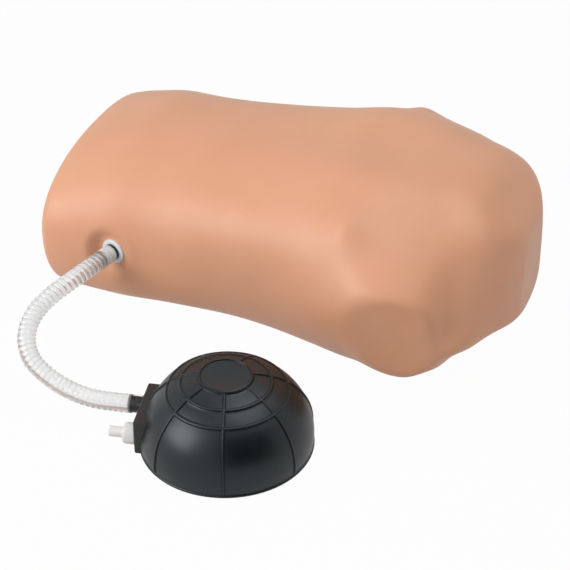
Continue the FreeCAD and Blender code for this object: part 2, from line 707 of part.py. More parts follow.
def block_envelope(grow=0, outward=0):
    """The valve block's outer form, with its lower edge cut back where the base plate lies."""
    block = Part.makeBox(BLOCK_DEPTH + grow + outward, BLOCK_WIDTH + 2 * grow, BLOCK_HEIGHT - BLOCK_LIFT + grow,
                         Vector(BLOCK_FACE - BLOCK_DEPTH - grow, BLOCK_OFFSET - BLOCK_WIDTH / 2 - grow, BLOCK_LIFT))
    return block.cut(cylinder(BASE_RADIUS + FIT_GAP, BASE_THICKNESS + 5, -5))


def pump_dome():
    """The rubber dome: an even wall with ribs, a dished crown and a flat flange inside its foot."""
    wall = dome_solid(0, BASE_THICKNESS).fuse(dome_ribs())
    pad = cylinder(PLATE_RADIUS, DOME_WALL + CROWN_DISH, PLATE_TOP)
    wall = wall.cut(dome_solid(DOME_WALL, BASE_THICKNESS).cut(pad)).cut(crown_dish())
    flange = ring(BASE_RADIUS - 2, FOOT_INNER, FOOT_THICKNESS, BASE_THICKNESS)
    bead = ring(BASE_RADIUS + 1.5, BASE_RADIUS - 3, 5, BASE_THICKNESS - 2.5)
    bead = bead.cut(cylinder(BASE_RADIUS + FIT_GAP, 10, BASE_THICKNESS - 10))
    dome = wall.fuse([flange, bead])
    dome = dome.cut(block_turned(block_envelope(FIT_GAP, DOME_RADIUS)))
    for place in clamp_screw_places():
        dome = dome.cut(cylinder(BASE_SCREW_SHANK / 2 + RUNNING_GAP, 9, BASE_THICKNESS - 1).translated(place))
    return dome.removeSplitter()


def clamp_screw_places():
    middle = (CLAMP_OUTER + CLAMP_INNER) / 2
    angles = [BLOCK_TURN + 360 / CLAMP_SCREWS * i for i in range(1, CLAMP_SCREWS)]
    return [Vector(middle * math.cos(math.radians(a)), middle * math.sin(math.radians(a)), 0) for a in angles]


def block_screw_places():
    spread = BLOCK_SCREW_SPREAD / 2
    places = [Vector(BLOCK_SCREW_RADIUS, BLOCK_OFFSET + spread * side, 0) for side in (-1, 1)]
    return [FreeCAD.Rotation(UP, BLOCK_TURN).multVec(place) for place in places]


def clamp_screw(grow=0):
    """A countersunk screw pointing up from under the base."""
    head = Part.makeCone(BASE_SCREW_HEAD / 2 + grow, BASE_SCREW_SHANK / 2 + grow, 1.8, Vector(0, 0, 0.4))
    shank = cylinder(BASE_SCREW_SHANK / 2 + grow, BASE_THICKNESS + FOOT_THICKNESS + CLAMP_THICKNESS - 3.2, 2.2)
    return head.fuse(shank)


def pump_base():
    """The rigid base plate, with a ring on top that keeps the spring in the middle."""
    base = cylinder(BASE_RADIUS, BASE_THICKNESS)
    base = base.fuse(ring(SPRING_RADIUS + SPRING_WIRE / 2 + 1 + 2.5, SPRING_RADIUS + SPRING_WIRE / 2 + 1,
                          BASE_UPSTAND, BASE_THICKNESS))
    for place in clamp_screw_places() + block_screw_places():
        base = base.cut(clamp_screw(RUNNING_GAP).translated(place))
        base = base.cut(cylinder(BASE_SCREW_HEAD / 2 + RUNNING_GAP, 1, -0.6).translated(place))
    return base


def clamp_ring():
    clamp = ring(CLAMP_OUTER, CLAMP_INNER, CLAMP_THICKNESS, BASE_THICKNESS + FOOT_THICKNESS)
    for place in clamp_screw_places():
        clamp = clamp.cut(cylinder(BASE_SCREW_SHANK / 2, 9, BASE_THICKNESS).translated(place))
    return clamp.cut(block_turned(block_envelope(FIT_GAP)))


def base_screws(places):
    return Part.makeCompound([clamp_screw().translated(place) for place in places])


def spring_plate():
    """The dished plate under the crown that the foot presses down."""
    plate = cylinder(PLATE_RADIUS, PLATE_THICKNESS, PLATE_TOP - PLATE_THICKNESS)
    rim = ring(PLATE_RADIUS, PLATE_RADIUS - 2, PLATE_RIM, PLATE_TOP - PLATE_THICKNESS - PLATE_RIM)
    return plate.fuse(rim)


def return_spring():
    """A compression spring between the base and the plate."""
    bottom = BASE_THICKNESS + SPRING_WIRE / 2
    top = PLATE_TOP - PLATE_THICKNESS - SPRING_WIRE / 2
    count = SPRING_TURNS * SPRING_SIDES
    corner = SPRING_RADIUS / math.cos(math.pi / SPRING_SIDES)
    points = []
    for i in range(count + 1):
        angle = 2 * math.pi * i / SPRING_SIDES
        points.append(Vector(corner * math.cos(angle), corner * math.sin(angle), bottom + (top - bottom) * i / count))
    path, radii = rounded_path(points)
    section = Part.Wire([Part.makeCircle(SPRING_WIRE / 2, points[0], points[1] - points[0])])
    wire = path.makePipeShell([section], True, False)
    print("spring volume ratio %.4f" % (wire.Volume / (math.pi * SPRING_WIRE ** 2 / 4 * path.Length)))
    return wire


def across_block(shape, side, height, inward):
    """A shape drawn along +Z, laid outward from a depth inside the block's outer face."""
    return block_turned(placed(shape, Vector(BLOCK_FACE - inward, side, height), Vector(1, 0, 0)))


def valve_block():
    """The block through the dome's wall that holds the outlet and intake valves."""
    block = block_envelope()
    edges = [edge for edge in block.Edges if edge.BoundBox.XMin > BLOCK_FACE - 0.01]
    block = block_turned(block.makeFillet(BLOCK_EDGE, edges))
    for side, height in ((OUTLET_SIDE, OUTLET_HEIGHT), (INTAKE_SIDE, INTAKE_HEIGHT)):
        block = block.cut(across_block(cylinder(VALVE_BORE / 2, VALVE_POCKET + 5), side, height, VALVE_POCKET))
        block = block.cut(across_block(cylinder(THROAT_BORE / 2, BLOCK_DEPTH), side, height, BLOCK_DEPTH + 1))
    for place in block_screw_places():
        block = block.cut(cylinder(BASE_SCREW_SHANK / 2, 8, BASE_THICKNESS - 1).translated(place))
    return block


def valve_cage():
    """A ring with three feet that limits how far a flap can lift."""
    hoop = ring(VALVE_BORE / 2 - RUNNING_GAP, VALVE_BORE / 2 - RUNNING_GAP - CAGE_WALL, CAGE_LENGTH)
    bars = [hoop]
    for i in range(3):
        bar = Part.makeBox(VALVE_BORE / 2 - RUNNING_GAP - CAGE_WALL / 2, CAGE_WALL, CAGE_WALL,
                           Vector(0, -CAGE_WALL / 2, CAGE_LENGTH - CAGE_WALL))
        bars.append(bar.rotated(Vector(0, 0, 0), UP, 120 * i))
    return bars[0].fuse(bars[1:])


def flap():
    return cylinder(FLAP_RADIUS, FLAP_THICKNESS)


def outlet_parts():
    """Flap, cage and hose spigot of the outlet, which opens towards the hose."""
    disc = across_block(flap(), OUTLET_SIDE, OUTLET_HEIGHT, VALVE_POCKET - FLAP_SEAT_GAP)
    cage = across_block(valve_cage(), OUTLET_SIDE, OUTLET_HEIGHT, VALVE_POCKET)
    tail = COLLAR_LENGTH - 2
    points = [(0, tail + SPIGOT_LENGTH), (0, -VALVE_POCKET + CAGE_LENGTH),
              (VALVE_BORE / 2 - RUNNING_GAP, -VALVE_POCKET + CAGE_LENGTH),
              (VALVE_BORE / 2 - RUNNING_GAP, 0), (COLLAR_RADIUS, 0), (COLLAR_RADIUS, tail)]
    points += spigot_profile(tail, SPIGOT_RADIUS, SPIGOT_LENGTH, SPIGOT_RIDGES, RIDGE_RISE)
    points += [(SPIGOT_RADIUS - 1, tail + SPIGOT_LENGTH)]
    body = revolved(points).cut(cylinder(PORT_BORE / 2, 60, -30))
    return disc, cage, across_block(body, OUTLET_SIDE, OUTLET_HEIGHT, 0)


def intake_parts():
    """Flap, cage and nozzle of the intake, which opens into the dome."""
    seat_depth = VALVE_POCKET - CAGE_LENGTH
    disc = across_block(flap(), INTAKE_SIDE, INTAKE_HEIGHT, seat_depth + FLAP_SEAT_GAP + FLAP_THICKNESS)
    turned_cage = valve_cage().mirror(Vector(0, 0, CAGE_LENGTH / 2), UP)
    cage = across_block(turned_cage, INTAKE_SIDE, INTAKE_HEIGHT, VALVE_POCKET)
    shoulder = NOZZLE_COLLAR_LENGTH
    points = [(0, shoulder + NOZZLE_TUBE_LENGTH), (0, -seat_depth), (VALVE_BORE / 2 - RUNNING_GAP, -seat_depth),
              (VALVE_BORE / 2 - RUNNING_GAP, 0), (NOZZLE_COLLAR_RADIUS - 0.6, 0), (NOZZLE_COLLAR_RADIUS, 1),
              (NOZZLE_COLLAR_RADIUS, shoulder - 4), (NOZZLE_COLLAR_RADIUS - 1.2, shoulder - 1.2),
              (NOZZLE_COLLAR_RADIUS - 4, shoulder), (NOZZLE_TUBE_RADIUS, shoulder),
              (NOZZLE_TUBE_RADIUS, shoulder + NOZZLE_TUBE_LENGTH)]
    body = revolved(points).cut(cylinder(NOZZLE_BORE / 2, 80, -30))
    return disc, cage, across_block(body, INTAKE_SIDE, INTAKE_HEIGHT, 0)


def hose_ends():
    """Where the hose starts at the port's collar and ends at the pump spigot's collar."""
    port_end = seat + PORT_OUT * (FLANGE_THICKNESS + COLLAR_LENGTH)
    turn = math.radians(BLOCK_TURN)
    outward = Vector(math.cos(turn), math.sin(turn), 0)
    across = Vector(-math.sin(turn), math.cos(turn), 0)
    pump_end = PUMP_PLACE + outward * (BLOCK_FACE + COLLAR_LENGTH - 2) + across * OUTLET_SIDE
    return port_end, PORT_OUT, pump_end + Vector(0, 0, OUTLET_HEIGHT), outward


def air_hose():
    """The hose: straight out of the flank, round in a wide bend and down to the pump."""
    port_end, port_out, pump_end, pump_out = hose_ends()
    points = [port_end, port_end + port_out * 28, Vector(-213, -225, 105), Vector(-227, -251, 97),
              Vector(-237, -278, 86), Vector(-235, -304, 71), Vector(-219, -324, 56),
              Vector(-192, -333, 44), Vector(-164, -336, 35), Vector(-134, -334, 29),
              pump_end + pump_out * 28, pump_end]
    print("hose from", tuple(round(value, 2) for value in port_end), "to",
          tuple(round(value, 2) for value in pump_end))
    return tube_along(points, HOSE_OUTER, HOSE_BORE)


def on_floor(shape):
    return shape.translated(PUMP_PLACE)


print("pieces")
outlet_flap, outlet_cage, hose_spigot = outlet_parts()
intake_flap, intake_cage, intake_nozzle = intake_parts()
pieces = {
    "torso_skin": torso_skin(),
    "foam_core": foam_core(bladders),
    "back_panel": back_panel(),
    "panel_screws": panel_screws(),
    "air_manifold": air_manifold(),
    "inlet_line": inlet_line(),
    "front_line_right": front_line(1),
    "front_line_left": front_line(-1),
    "side_line_right": side_line(1),
    "side_line_left": side_line(-1),
    "port_flange": port_flange(),
    "port_spigot": port_spigot(),
    "port_gasket": port_gasket(),
    "port_nut": port_nut(),
    "air_hose": air_hose(),
    "pump_dome": on_floor(pump_dome()),
    "pump_base": on_floor(pump_base()),
    "clamp_ring": on_floor(clamp_ring()),
    "clamp_screws": on_floor(base_screws(clamp_screw_places())),
    "block_screws": on_floor(base_screws(block_screw_places())),
    "spring_plate": on_floor(spring_plate()),
    "return_spring": on_floor(return_spring()),
    "valve_block": on_floor(valve_block()),
    "hose_spigot": on_floor(hose_spigot),
    "intake_nozzle": on_floor(intake_nozzle),
    "outlet_flap": on_floor(outlet_flap),
    "outlet_cage": on_floor(outlet_cage),
    "intake_flap": on_floor(intake_flap),
    "intake_cage": on_floor(intake_cage),
}
for name, middle, outward in bladders:
    pieces[name] = bladder(middle, outward)

for name, shape in pieces.items():
    shape.exportStep("parts/" + name + ".step")
    box = shape.BoundBox
    print("%-20s solids %d valid %s volume %.0f  x %.0f..%.0f  y %.0f..%.0f  z %.1f..%.1f" % (
        name, len(shape.Solids), shape.isValid(), shape.Volume, box.XMin, box.XMax,
        box.YMin, box.YMax, box.ZMin, box.ZMax))
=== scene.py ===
# %% [markdown]
# # A pneumothorax training manikin
# A soft adult torso lies on its back. A clear ribbed hose leaves its left flank and ends
# at a black rubber foot pump that stands on the floor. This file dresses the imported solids
# piece by piece: first the camera and the hose, then the skin, the pump and the small parts,
# each with its own finish, and last the studio.

# %% Load the solids
import bpy
import bmesh
import math
from mathutils import Matrix, Vector


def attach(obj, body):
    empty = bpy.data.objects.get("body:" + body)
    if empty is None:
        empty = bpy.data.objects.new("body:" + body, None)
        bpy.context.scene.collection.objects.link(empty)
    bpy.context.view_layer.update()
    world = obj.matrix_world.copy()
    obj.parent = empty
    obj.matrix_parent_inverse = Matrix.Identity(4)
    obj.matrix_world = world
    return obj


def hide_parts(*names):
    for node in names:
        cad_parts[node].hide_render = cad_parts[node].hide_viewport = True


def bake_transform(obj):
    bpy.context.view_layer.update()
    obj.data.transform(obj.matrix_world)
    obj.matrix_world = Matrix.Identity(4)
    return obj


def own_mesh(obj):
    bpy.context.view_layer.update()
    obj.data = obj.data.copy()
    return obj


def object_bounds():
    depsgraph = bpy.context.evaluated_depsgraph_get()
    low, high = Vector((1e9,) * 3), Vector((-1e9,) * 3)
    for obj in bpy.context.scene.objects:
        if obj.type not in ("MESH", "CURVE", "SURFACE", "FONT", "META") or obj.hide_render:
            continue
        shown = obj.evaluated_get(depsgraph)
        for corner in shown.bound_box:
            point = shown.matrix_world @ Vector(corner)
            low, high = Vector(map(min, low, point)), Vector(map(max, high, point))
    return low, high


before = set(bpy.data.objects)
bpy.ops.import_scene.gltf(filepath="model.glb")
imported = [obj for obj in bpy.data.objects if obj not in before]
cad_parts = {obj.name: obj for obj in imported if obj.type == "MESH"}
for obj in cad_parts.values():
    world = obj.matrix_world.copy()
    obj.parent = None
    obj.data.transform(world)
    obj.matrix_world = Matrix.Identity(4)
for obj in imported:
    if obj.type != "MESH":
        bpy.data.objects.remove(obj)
solids_box = [[float(value) for value in corner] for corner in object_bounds()]
print("the solids are", [round(high - low, 3) for low, high in zip(*solids_box)], "m")

# %% [markdown]
# ## Putting things in the scene
# Blender keeps an object, which has a place, apart from its data, such as a mesh, a lamp or
# a camera, and shows it once a collection holds it. A second helper turns one of its axes
# along a direction, which is easier to read than three angles.

# %% Scene helpers
def in_scene(name, data):
    """A new object for the data, linked to the scene."""
    made = bpy.data.objects.new(name, data)
    bpy.context.scene.collection.objects.link(made)
    return made


def aimed(direction, axis="Z"):
    """The turn that points an axis along a direction."""
    return Vector(direction).to_track_quat(axis, "Y")


# %% [markdown]
# ## The camera
# The picture was taken from above the left flank with a long lens. A long lens flattens
# perspective, so the camera stands over two metres away and sees a narrow angle. A camera
# looks along its own -Z axis, so that is the axis to aim.

# %% Camera
CAMERA_PLACE = (0.664, -1.780, 1.304)
CAMERA_DIRECTION = (-0.2992, 0.7701, -0.5633)
SENSOR_MM, LENS_MM = 36, 113.7

camera_data = bpy.data.cameras.new("studio_camera")
camera_data.sensor_width = SENSOR_MM
camera_data.lens = LENS_MM
camera = in_scene("studio_camera", camera_data)
camera.location = CAMERA_PLACE
camera.rotation_euler = aimed(CAMERA_DIRECTION, "-Z").to_euler()
bpy.context.scene.camera = camera
print("the camera sees", round(math.degrees(camera_data.angle), 1), "degrees")

# %% [markdown]
# ## Turning a bmesh into a piece
# Every new piece is drawn with bmesh operators straight in its place, in metres, and its
# object stays at the origin. One helper turns the drawing into an object, smooths its faces
# and lets it ride on the body that carries it. Another cuts openings with a Boolean modifier.

# %% Making pieces
MERGE_DISTANCE = 0.00001


def mesh_of(drawing, name):
    """A mesh made from a drawing, which is then let go."""
    mesh = bpy.data.meshes.new(name)
    drawing.to_mesh(mesh)
    drawing.free()
    return mesh


def finished(drawing, name, body, smooth_below):
    """A piece made from a drawing, smooth but for its sharp edges. A body makes it ride there."""
    mesh = mesh_of(drawing, name)
    piece = in_scene(name, mesh)
    mesh.shade_smooth()
    mesh.set_sharp_from_angle(angle=math.radians(smooth_below))
    if body:
        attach(piece, body)
    print(name, "has", len(mesh.polygons), "faces")
    return piece


def turned_to(direction, place):
    """A matrix that turns +Z to a direction and moves the origin to a place."""
    return Matrix.Translation(place) @ aimed(direction).to_matrix().to_4x4()


def take_out(piece, cutter_drawing, smooth_below):
    """Cuts a closed drawing out of a piece and keeps the result as the piece's mesh."""
    cutter_mesh = mesh_of(cutter_drawing, "cutter")
    cutter = in_scene("cutter", cutter_mesh)
    opening = piece.modifiers.new("opening", "BOOLEAN")
    opening.object = cutter
    opening.solver = "EXACT"
    as_cut = piece.evaluated_get(bpy.context.evaluated_depsgraph_get())
    opened = bpy.data.meshes.new_from_object(as_cut)
    piece.modifiers.clear()
    piece.data = opened
    opened.set_sharp_from_angle(angle=math.radians(smooth_below))
    bpy.data.objects.remove(cutter)
    bpy.data.meshes.remove(cutter_mesh)
    print(piece.name, "has", len(opened.polygons), "faces after the cut")


# %% [markdown]
# ## The hose's line
# The hose is a fixed length of stiff ribbed tube, held at both ends, so it bows out into
# the air between them. Its line is one NURBS spline: its points pull at the line without
# lying on it, which gives the even bend of a real hose. Blender works out the smooth line
# for us when it makes a mesh of the curve.

# %% Hose line
PORT_END = Vector((-0.19269, -0.15929, 0.109))
PORT_OUT = Vector((-0.24192, -0.97030, 0))
PUMP_END = Vector((-0.07751, -0.32207, 0.028))
PUMP_OUT = Vector((-0.98163, -0.19081, 0))
STRAIGHT_RUN = 0.028
LINE_STEPS = 24
HOSE_ROUTE = [
    PORT_END, PORT_END + PORT_OUT * STRAIGHT_RUN,
    (-0.213, -0.225, 0.105), (-0.227, -0.251, 0.097), (-0.237, -0.278, 0.086),
    (-0.235, -0.304, 0.071), (-0.219, -0.324, 0.056), (-0.192, -0.333, 0.044),
    (-0.164, -0.336, 0.035), (-0.134, -0.334, 0.029),
    PUMP_END + PUMP_OUT * STRAIGHT_RUN, PUMP_END]


def line_length(line):
    """The length of a line of points."""
    return sum((after - before).length for before, after in zip(line, line[1:]))


route = bpy.data.curves.new("hose_route", "CURVE")
route.dimensions = "3D"
route.resolution_u = LINE_STEPS
spline = route.splines.new("NURBS")
spline.points.add(len(HOSE_ROUTE) - 1)
for point, place in zip(spline.points, HOSE_ROUTE):
    point.co = (*place, 1)
spline.order_u = 3
spline.use_endpoint_u = True
route_object = in_scene("hose_route", route)
line_mesh = bpy.data.meshes.new_from_object(route_object)
hose_line = [vertex.co.copy() for vertex in line_mesh.vertices]
bpy.data.objects.remove(route_object)
bpy.data.meshes.remove(line_mesh)
hose_length = line_length(hose_line)
print("the hose is", round(hose_length * 1000), "mm long")

# %% [markdown]
# ## Sweeping a wall along the line
# A curve with a bevel would be a plain tube. Instead, a ring of points is extruded step by
# step along the line, so that its radius can change with distance and angle.
# The frame that carries the ring is turned as little as possible from step to step, so the
# tube doesn't twist.

# %% Sweeping helpers
def evenly_spaced(line, spacing):
    """Points at an even spacing on a line, with the direction at each and its distance."""
    total = line_length(line)
    count = max(2, round(total / spacing))
    places, i, passed = [], 0, 0
    for number in range(count + 1):
        distance = total * number / count
        while i < len(line) - 2 and passed + (line[i + 1] - line[i]).length < distance:
            passed += (line[i + 1] - line[i]).length
            i += 1
        step = line[i + 1] - line[i]
        place = line[i] + step * ((distance - passed) / step.length)
        places.append((place, step.normalized(), distance))
    return places


def ring_edges(ring):
    """The edges between a ring's own vertices."""
    members = set(ring)
    return [edge for edge in {edge for vertex in ring for edge in vertex.link_edges}
            if all(vertex in members for vertex in edge.verts)]


def swept_wall(drawing, line, spacing, sides, radius_at):
    """Extrudes a ring along a line, and gives the rings at both ends.

    radius_at gives the ring's radius at a distance and an angle."""
    stations = evenly_spaced(line, spacing)
    across = stations[0][1].orthogonal().normalized()
    first = ring = bmesh.ops.create_circle(drawing, segments=sides, radius=1)["verts"]
    angles = [math.atan2(vertex.co.y, vertex.co.x) for vertex in ring]
    for number, (place, direction, distance) in enumerate(stations):
        across = (across - direction * across.dot(direction)).normalized()
        upward = direction.cross(across)
        if number > 0:
            made = bmesh.ops.extrude_edge_only(drawing, edges=ring_edges(ring))["geom"]
            new_vertices = {item for item in made if isinstance(item, bmesh.types.BMVert)}
            ring = [next(edge.other_vert(vertex) for edge in vertex.link_edges
                         if edge.other_vert(vertex) in new_vertices) for vertex in ring]
        for vertex, angle in zip(ring, angles):
            outward = across * math.cos(angle) + upward * math.sin(angle)
            vertex.co = place + outward * radius_at(distance, angle)
    return first, ring


# %% [markdown]
# ## The ribbed hose
# A spiral rib stiffens such a hose, so the radius follows a wave that winds round it like a
# screw thread. The ribs are full at the port, grow faint in the lower run and end where the
# hose is stretched over the pump's barb. An inner wall makes it a real tube, because light
# bends at each wall of a clear one. The faces at both ends are marked, since the stretched
# end is clearer than the rest and the cuff at the port is cloudier.

# %% Hose's ribs
HOSE_OUTER, HOSE_BORE = 0.022, 0.0172
RIB_PITCH, RIB_DEPTH, VALLEY_NARROWNESS = 0.0064, 0.0012, 1.6
FAINTEST, FADE_LENGTH = 0.3, 0.14
STRETCHED_CUFF, PORT_LIP = 0.022, 0.002


def rib_radius(distance, angle):
    """The outer radius at a distance from the port and an angle round the hose."""
    turn = math.cos(2 * math.pi * (distance / RIB_PITCH) - angle)
    valley = ((1 - turn) / 2) ** VALLEY_NARROWNESS
    from_pump = hose_length - distance
    fading = min(1, FAINTEST + from_pump / FADE_LENGTH) * min(1, from_pump / STRETCHED_CUFF)
    depth = RIB_DEPTH * fading * min(1, 0.5 + distance / PORT_LIP)
    return HOSE_OUTER / 2 - depth * valley


# %% Ribbed hose
HOSE_SIDES, RIB_STEP, BORE_STEP = 48, 0.0008, 0.003
MARKED_LENGTH = 0.017
STRETCHED_END, PORT_CUFF = 1, 2        # marks on the faces, 0 on the free hose

drawing = bmesh.new()
outer_ends = swept_wall(drawing, hose_line, RIB_STEP, HOSE_SIDES, rib_radius)
bore_ends = swept_wall(drawing, hose_line, BORE_STEP, HOSE_SIDES, lambda *_: HOSE_BORE / 2)
for outer_ring, bore_ring in zip(outer_ends, bore_ends):
    bmesh.ops.bridge_loops(drawing, edges=ring_edges(outer_ring) + ring_edges(bore_ring))
bmesh.ops.recalc_face_normals(drawing, faces=drawing.faces)
for face in drawing.faces:
    middle = face.calc_center_median()
    if (middle - PUMP_END).length < MARKED_LENGTH:
        face.material_index = STRETCHED_END
    elif (middle - PORT_END).length < MARKED_LENGTH:
        face.material_index = PORT_CUFF
hose = finished(drawing, "ribbed_hose", "manikin", smooth_below=80)
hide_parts("air_hose")

# %% [markdown]
# ## The torso's form
# The torso is a closed skin over foam. It could be sculpted, but a formula can be tuned
# against the photograph and gives the same form in the solid and here. It is drawn as rings
# along the body: tables give the half width, the top, the back and the middle height at
# each distance from the waist, in millimetres, and a superellipse joins them. Its roundness
# is 2 for an ellipse and more for a squarer section.

# %% Torso tables
TORSO_LENGTH, WAIST_X = 580, -290
HALF_WIDTHS = [
    (0, 158), (40, 162), (90, 161), (150, 156), (210, 156), (280, 161), (345, 170), (400, 182),
    (440, 185), (475, 183), (500, 175), (520, 175), (540, 162), (560, 110), (580, 52)]
TOP_HEIGHTS = [
    (0, 192), (40, 207), (100, 221), (170, 222), (240, 227), (310, 236), (370, 246), (430, 243),
    (475, 236), (510, 229), (545, 223), (580, 202)]
BACK_HEIGHTS = [
    (0, -6), (60, -6), (250, -10), (400, -25), (470, -20), (505, 4), (530, 40), (555, 48),
    (580, 48)]
MIDDLE_HEIGHTS = [
    (0, 110), (100, 98), (250, 122), (400, 126), (470, 114), (520, 100), (550, 105), (580, 84)]
ROUNDNESS, NECK_ROUNDER, NECK_ROUNDER_FROM_TO = 2.3, 0.2, (480, 560)


def along(table, place):
    """A smooth value between the pairs of a table, with no overshoot."""
    spans = [b[0] - a[0] for a, b in zip(table, table[1:])]
    slopes = [(b[1] - a[1]) / span for a, b, span in zip(table, table[1:], spans)]
    tangents = [slopes[0]]
    for before, after in zip(slopes, slopes[1:]):
        tangents.append(2 * before * after / (before + after) if before * after > 0 else 0)
    tangents.append(slopes[-1])
    place = min(max(place, table[0][0]), table[-1][0])
    i = max(j for j in range(len(spans)) if table[j][0] <= place)
    t = (place - table[i][0]) / spans[i]
    start, end = table[i][1], table[i + 1][1]
    return (start * (1 + 2 * t) * (1 - t) ** 2 + tangents[i] * spans[i] * t * (1 - t) ** 2
            + end * t * t * (3 - 2 * t) + tangents[i + 1] * spans[i] * t * t * (t - 1))


print("the torso is", round(2 * along(HALF_WIDTHS, TORSO_LENGTH / 2)), "mm wide at its middle")

# %% [markdown]
# Soft bells raise the chest muscles, the armpit ridges and the collarbones, and sink the
# breastbone. A bell is 1 at its middle and dies away smoothly, so it leaves no edge. The
# arm stubs and the fold of skin below each armpit are bells on the flank.

# %% Chest and arm stubs
PEC_FROM_WAIST, PEC_SIDE, PEC_LENGTH, PEC_REACH, PEC_RISE = 408, 93, 54, 32, 2
STERNUM_FROM_WAIST, STERNUM_LENGTH, STERNUM_REACH, STERNUM_DEPTH = 380, 90, 64, 10
ARMPIT_FROM_WAIST, ARMPIT_SIDE, ARMPIT_REACH, ARMPIT_RISE = 400, 158, 25, 22
COLLAR_FROM_WAIST, COLLAR_SIDE, COLLAR_LENGTH, COLLAR_REACH, COLLAR_RISE = 512, 88, 21, 43, 2.3
COLLAR_FLATNESS = 4
STUB_FROM_WAIST, STUB_HEIGHT, STUB_TILT, STUB_REACH = 464, 108, 0.08, 92
STUB_HALF_HEIGHT, STUB_TOP_POWER = 62, 2
STUB_WAIST_FALL, STUB_WAIST_POWER = 64, 2.2
STUB_NECK_FALL, STUB_NECK_POWER = 42, 3.5
FOLD_FROM_WAIST, FOLD_LENGTH, FOLD_HEIGHT, FOLD_HALF_HEIGHT, FOLD_REACH = 360, 45, 96, 56, 13


def hump(distance, reach, power=2):
    """A bell: 1 at its middle, about a third at its reach. More power makes it flatter."""
    return math.exp(-abs(distance / reach) ** power)


def front_relief(x, side):
    """How far the chest's muscles and bones lift or sink the front there."""
    muscle = PEC_RISE * hump(x - PEC_FROM_WAIST, PEC_LENGTH) * hump(side - PEC_SIDE, PEC_REACH)
    groove = (STERNUM_DEPTH * hump(x - STERNUM_FROM_WAIST, STERNUM_LENGTH)
              * hump(side, STERNUM_REACH))
    armpit = (ARMPIT_RISE * hump(x - ARMPIT_FROM_WAIST, ARMPIT_REACH)
              * hump(side - ARMPIT_SIDE, ARMPIT_REACH))
    collar = (COLLAR_RISE * hump(x - COLLAR_FROM_WAIST, COLLAR_LENGTH)
              * hump(side - COLLAR_SIDE, COLLAR_REACH, COLLAR_FLATNESS))
    return muscle - groove + armpit + collar


def arm_stub(x, z, inset):
    """How far the arm stub and the fold below the armpit stand out of the flank there."""
    if x < STUB_FROM_WAIST:
        fall, power = STUB_WAIST_FALL, STUB_WAIST_POWER
    else:
        fall, power = STUB_NECK_FALL, STUB_NECK_POWER
    axis_height = STUB_HEIGHT + STUB_TILT * (x - STUB_FROM_WAIST)
    stump = (STUB_REACH * hump(x - STUB_FROM_WAIST, fall - inset, power)
             * hump(z - axis_height, STUB_HALF_HEIGHT - inset, STUB_TOP_POWER))
    fold = (FOLD_REACH * hump(x - FOLD_FROM_WAIST, FOLD_LENGTH)
            * hump(z - FOLD_HEIGHT, FOLD_HALF_HEIGHT))
    return stump + fold


print("an arm stub stands out by", round(arm_stub(STUB_FROM_WAIST, STUB_HEIGHT, 0)),
      "mm before its face is cut")

# %% [markdown]
# Planes then trim the form, as a sculptor's wire cuts clay: the flat faces of the stubs, the
# shoulders and the slope to the neck. Each has a direction, a point that it passes through
# and an edge, which says over how many millimetres the cut is rounded. The slope to the neck
# moves points only within their own slice of the body, because sliding them along it would
# fold the skin at the neck's rim.

# %% Plane cuts
STUB_FACE, STUB_FACE_THROUGH, STUB_EDGE = (0.2, 1, -0.18), (460, 189, 104), 3.5
STUB_WAIST_EDGE, STUB_EDGE_FROM_TO = 20, (401, 471)
SHOULDER_TOP, SHOULDER_TOP_THROUGH, SHOULDER_TOP_EDGE = (0.3, 0.59, 0.81), (450, 190, 173), 12
SHOULDER_SLOPE, SHOULDER_SLOPE_THROUGH = (0.54, 0.76, 0.37), (540, 140, 130)
SHOULDER_SLOPE_EDGE = 9
NECK_SLOPE, NECK_SLOPE_THROUGH, NECK_SLOPE_EDGE = (0.68, 0, 0.73), (549, 0, 205), 5
FAR_BEYOND = 30        # in edges: the rounding is nil from there on


def softly_cut(point, normal, through, edge, inset, in_slice=False):
    """Pushes a point that lies beyond a plane back onto it, rounded over the edge's width."""
    normal = Vector(normal).normalized()
    beyond = ((point - Vector(through)).dot(normal) + inset) / edge
    push = beyond if beyond > FAR_BEYOND else math.log(1 + math.exp(beyond))
    way = Vector((0, normal.y, normal.z)) if in_slice else normal
    return point - way * (edge * push / way.dot(normal))


# %% [markdown]
# A hollow is pressed in beside the neck, and a flat seat for the port blends into the left
# flank. Only one half of each ring is worked out: a point gets its side's sign at the end,
# so both halves mirror each other, but for the seat.

# %% Torso form
POCKET_PLACE, POCKET_DIRECTION = Vector((526, 168, 100)), Vector((0.82, 0.5, 0.28))
POCKET_REACH, POCKET_DEPTH = 19, 5.5
STUB_ROUND_BODY = (0.3, 0.95)
PORT_X, PORT_Z, PORT_YAW = -191, 109, 14
SEAT_Y, SEAT_FLAT, SEAT_BLEND = -152.5, 17, 36


def ease(start, end, value):
    """0 before the start, 1 after the end and smooth between them."""
    t = min(1, max(0, (value - start) / (end - start)))
    return t * t * (3 - 2 * t)


def on_port_seat(x, y, z, inset):
    """The side y, flattened round the port."""
    seat_y = SEAT_Y - math.tan(math.radians(PORT_YAW)) * (x - PORT_X) + inset
    blend = ease(SEAT_FLAT, SEAT_BLEND, math.hypot(x - PORT_X, z - PORT_Z))
    return seat_y + (y - seat_y) * blend


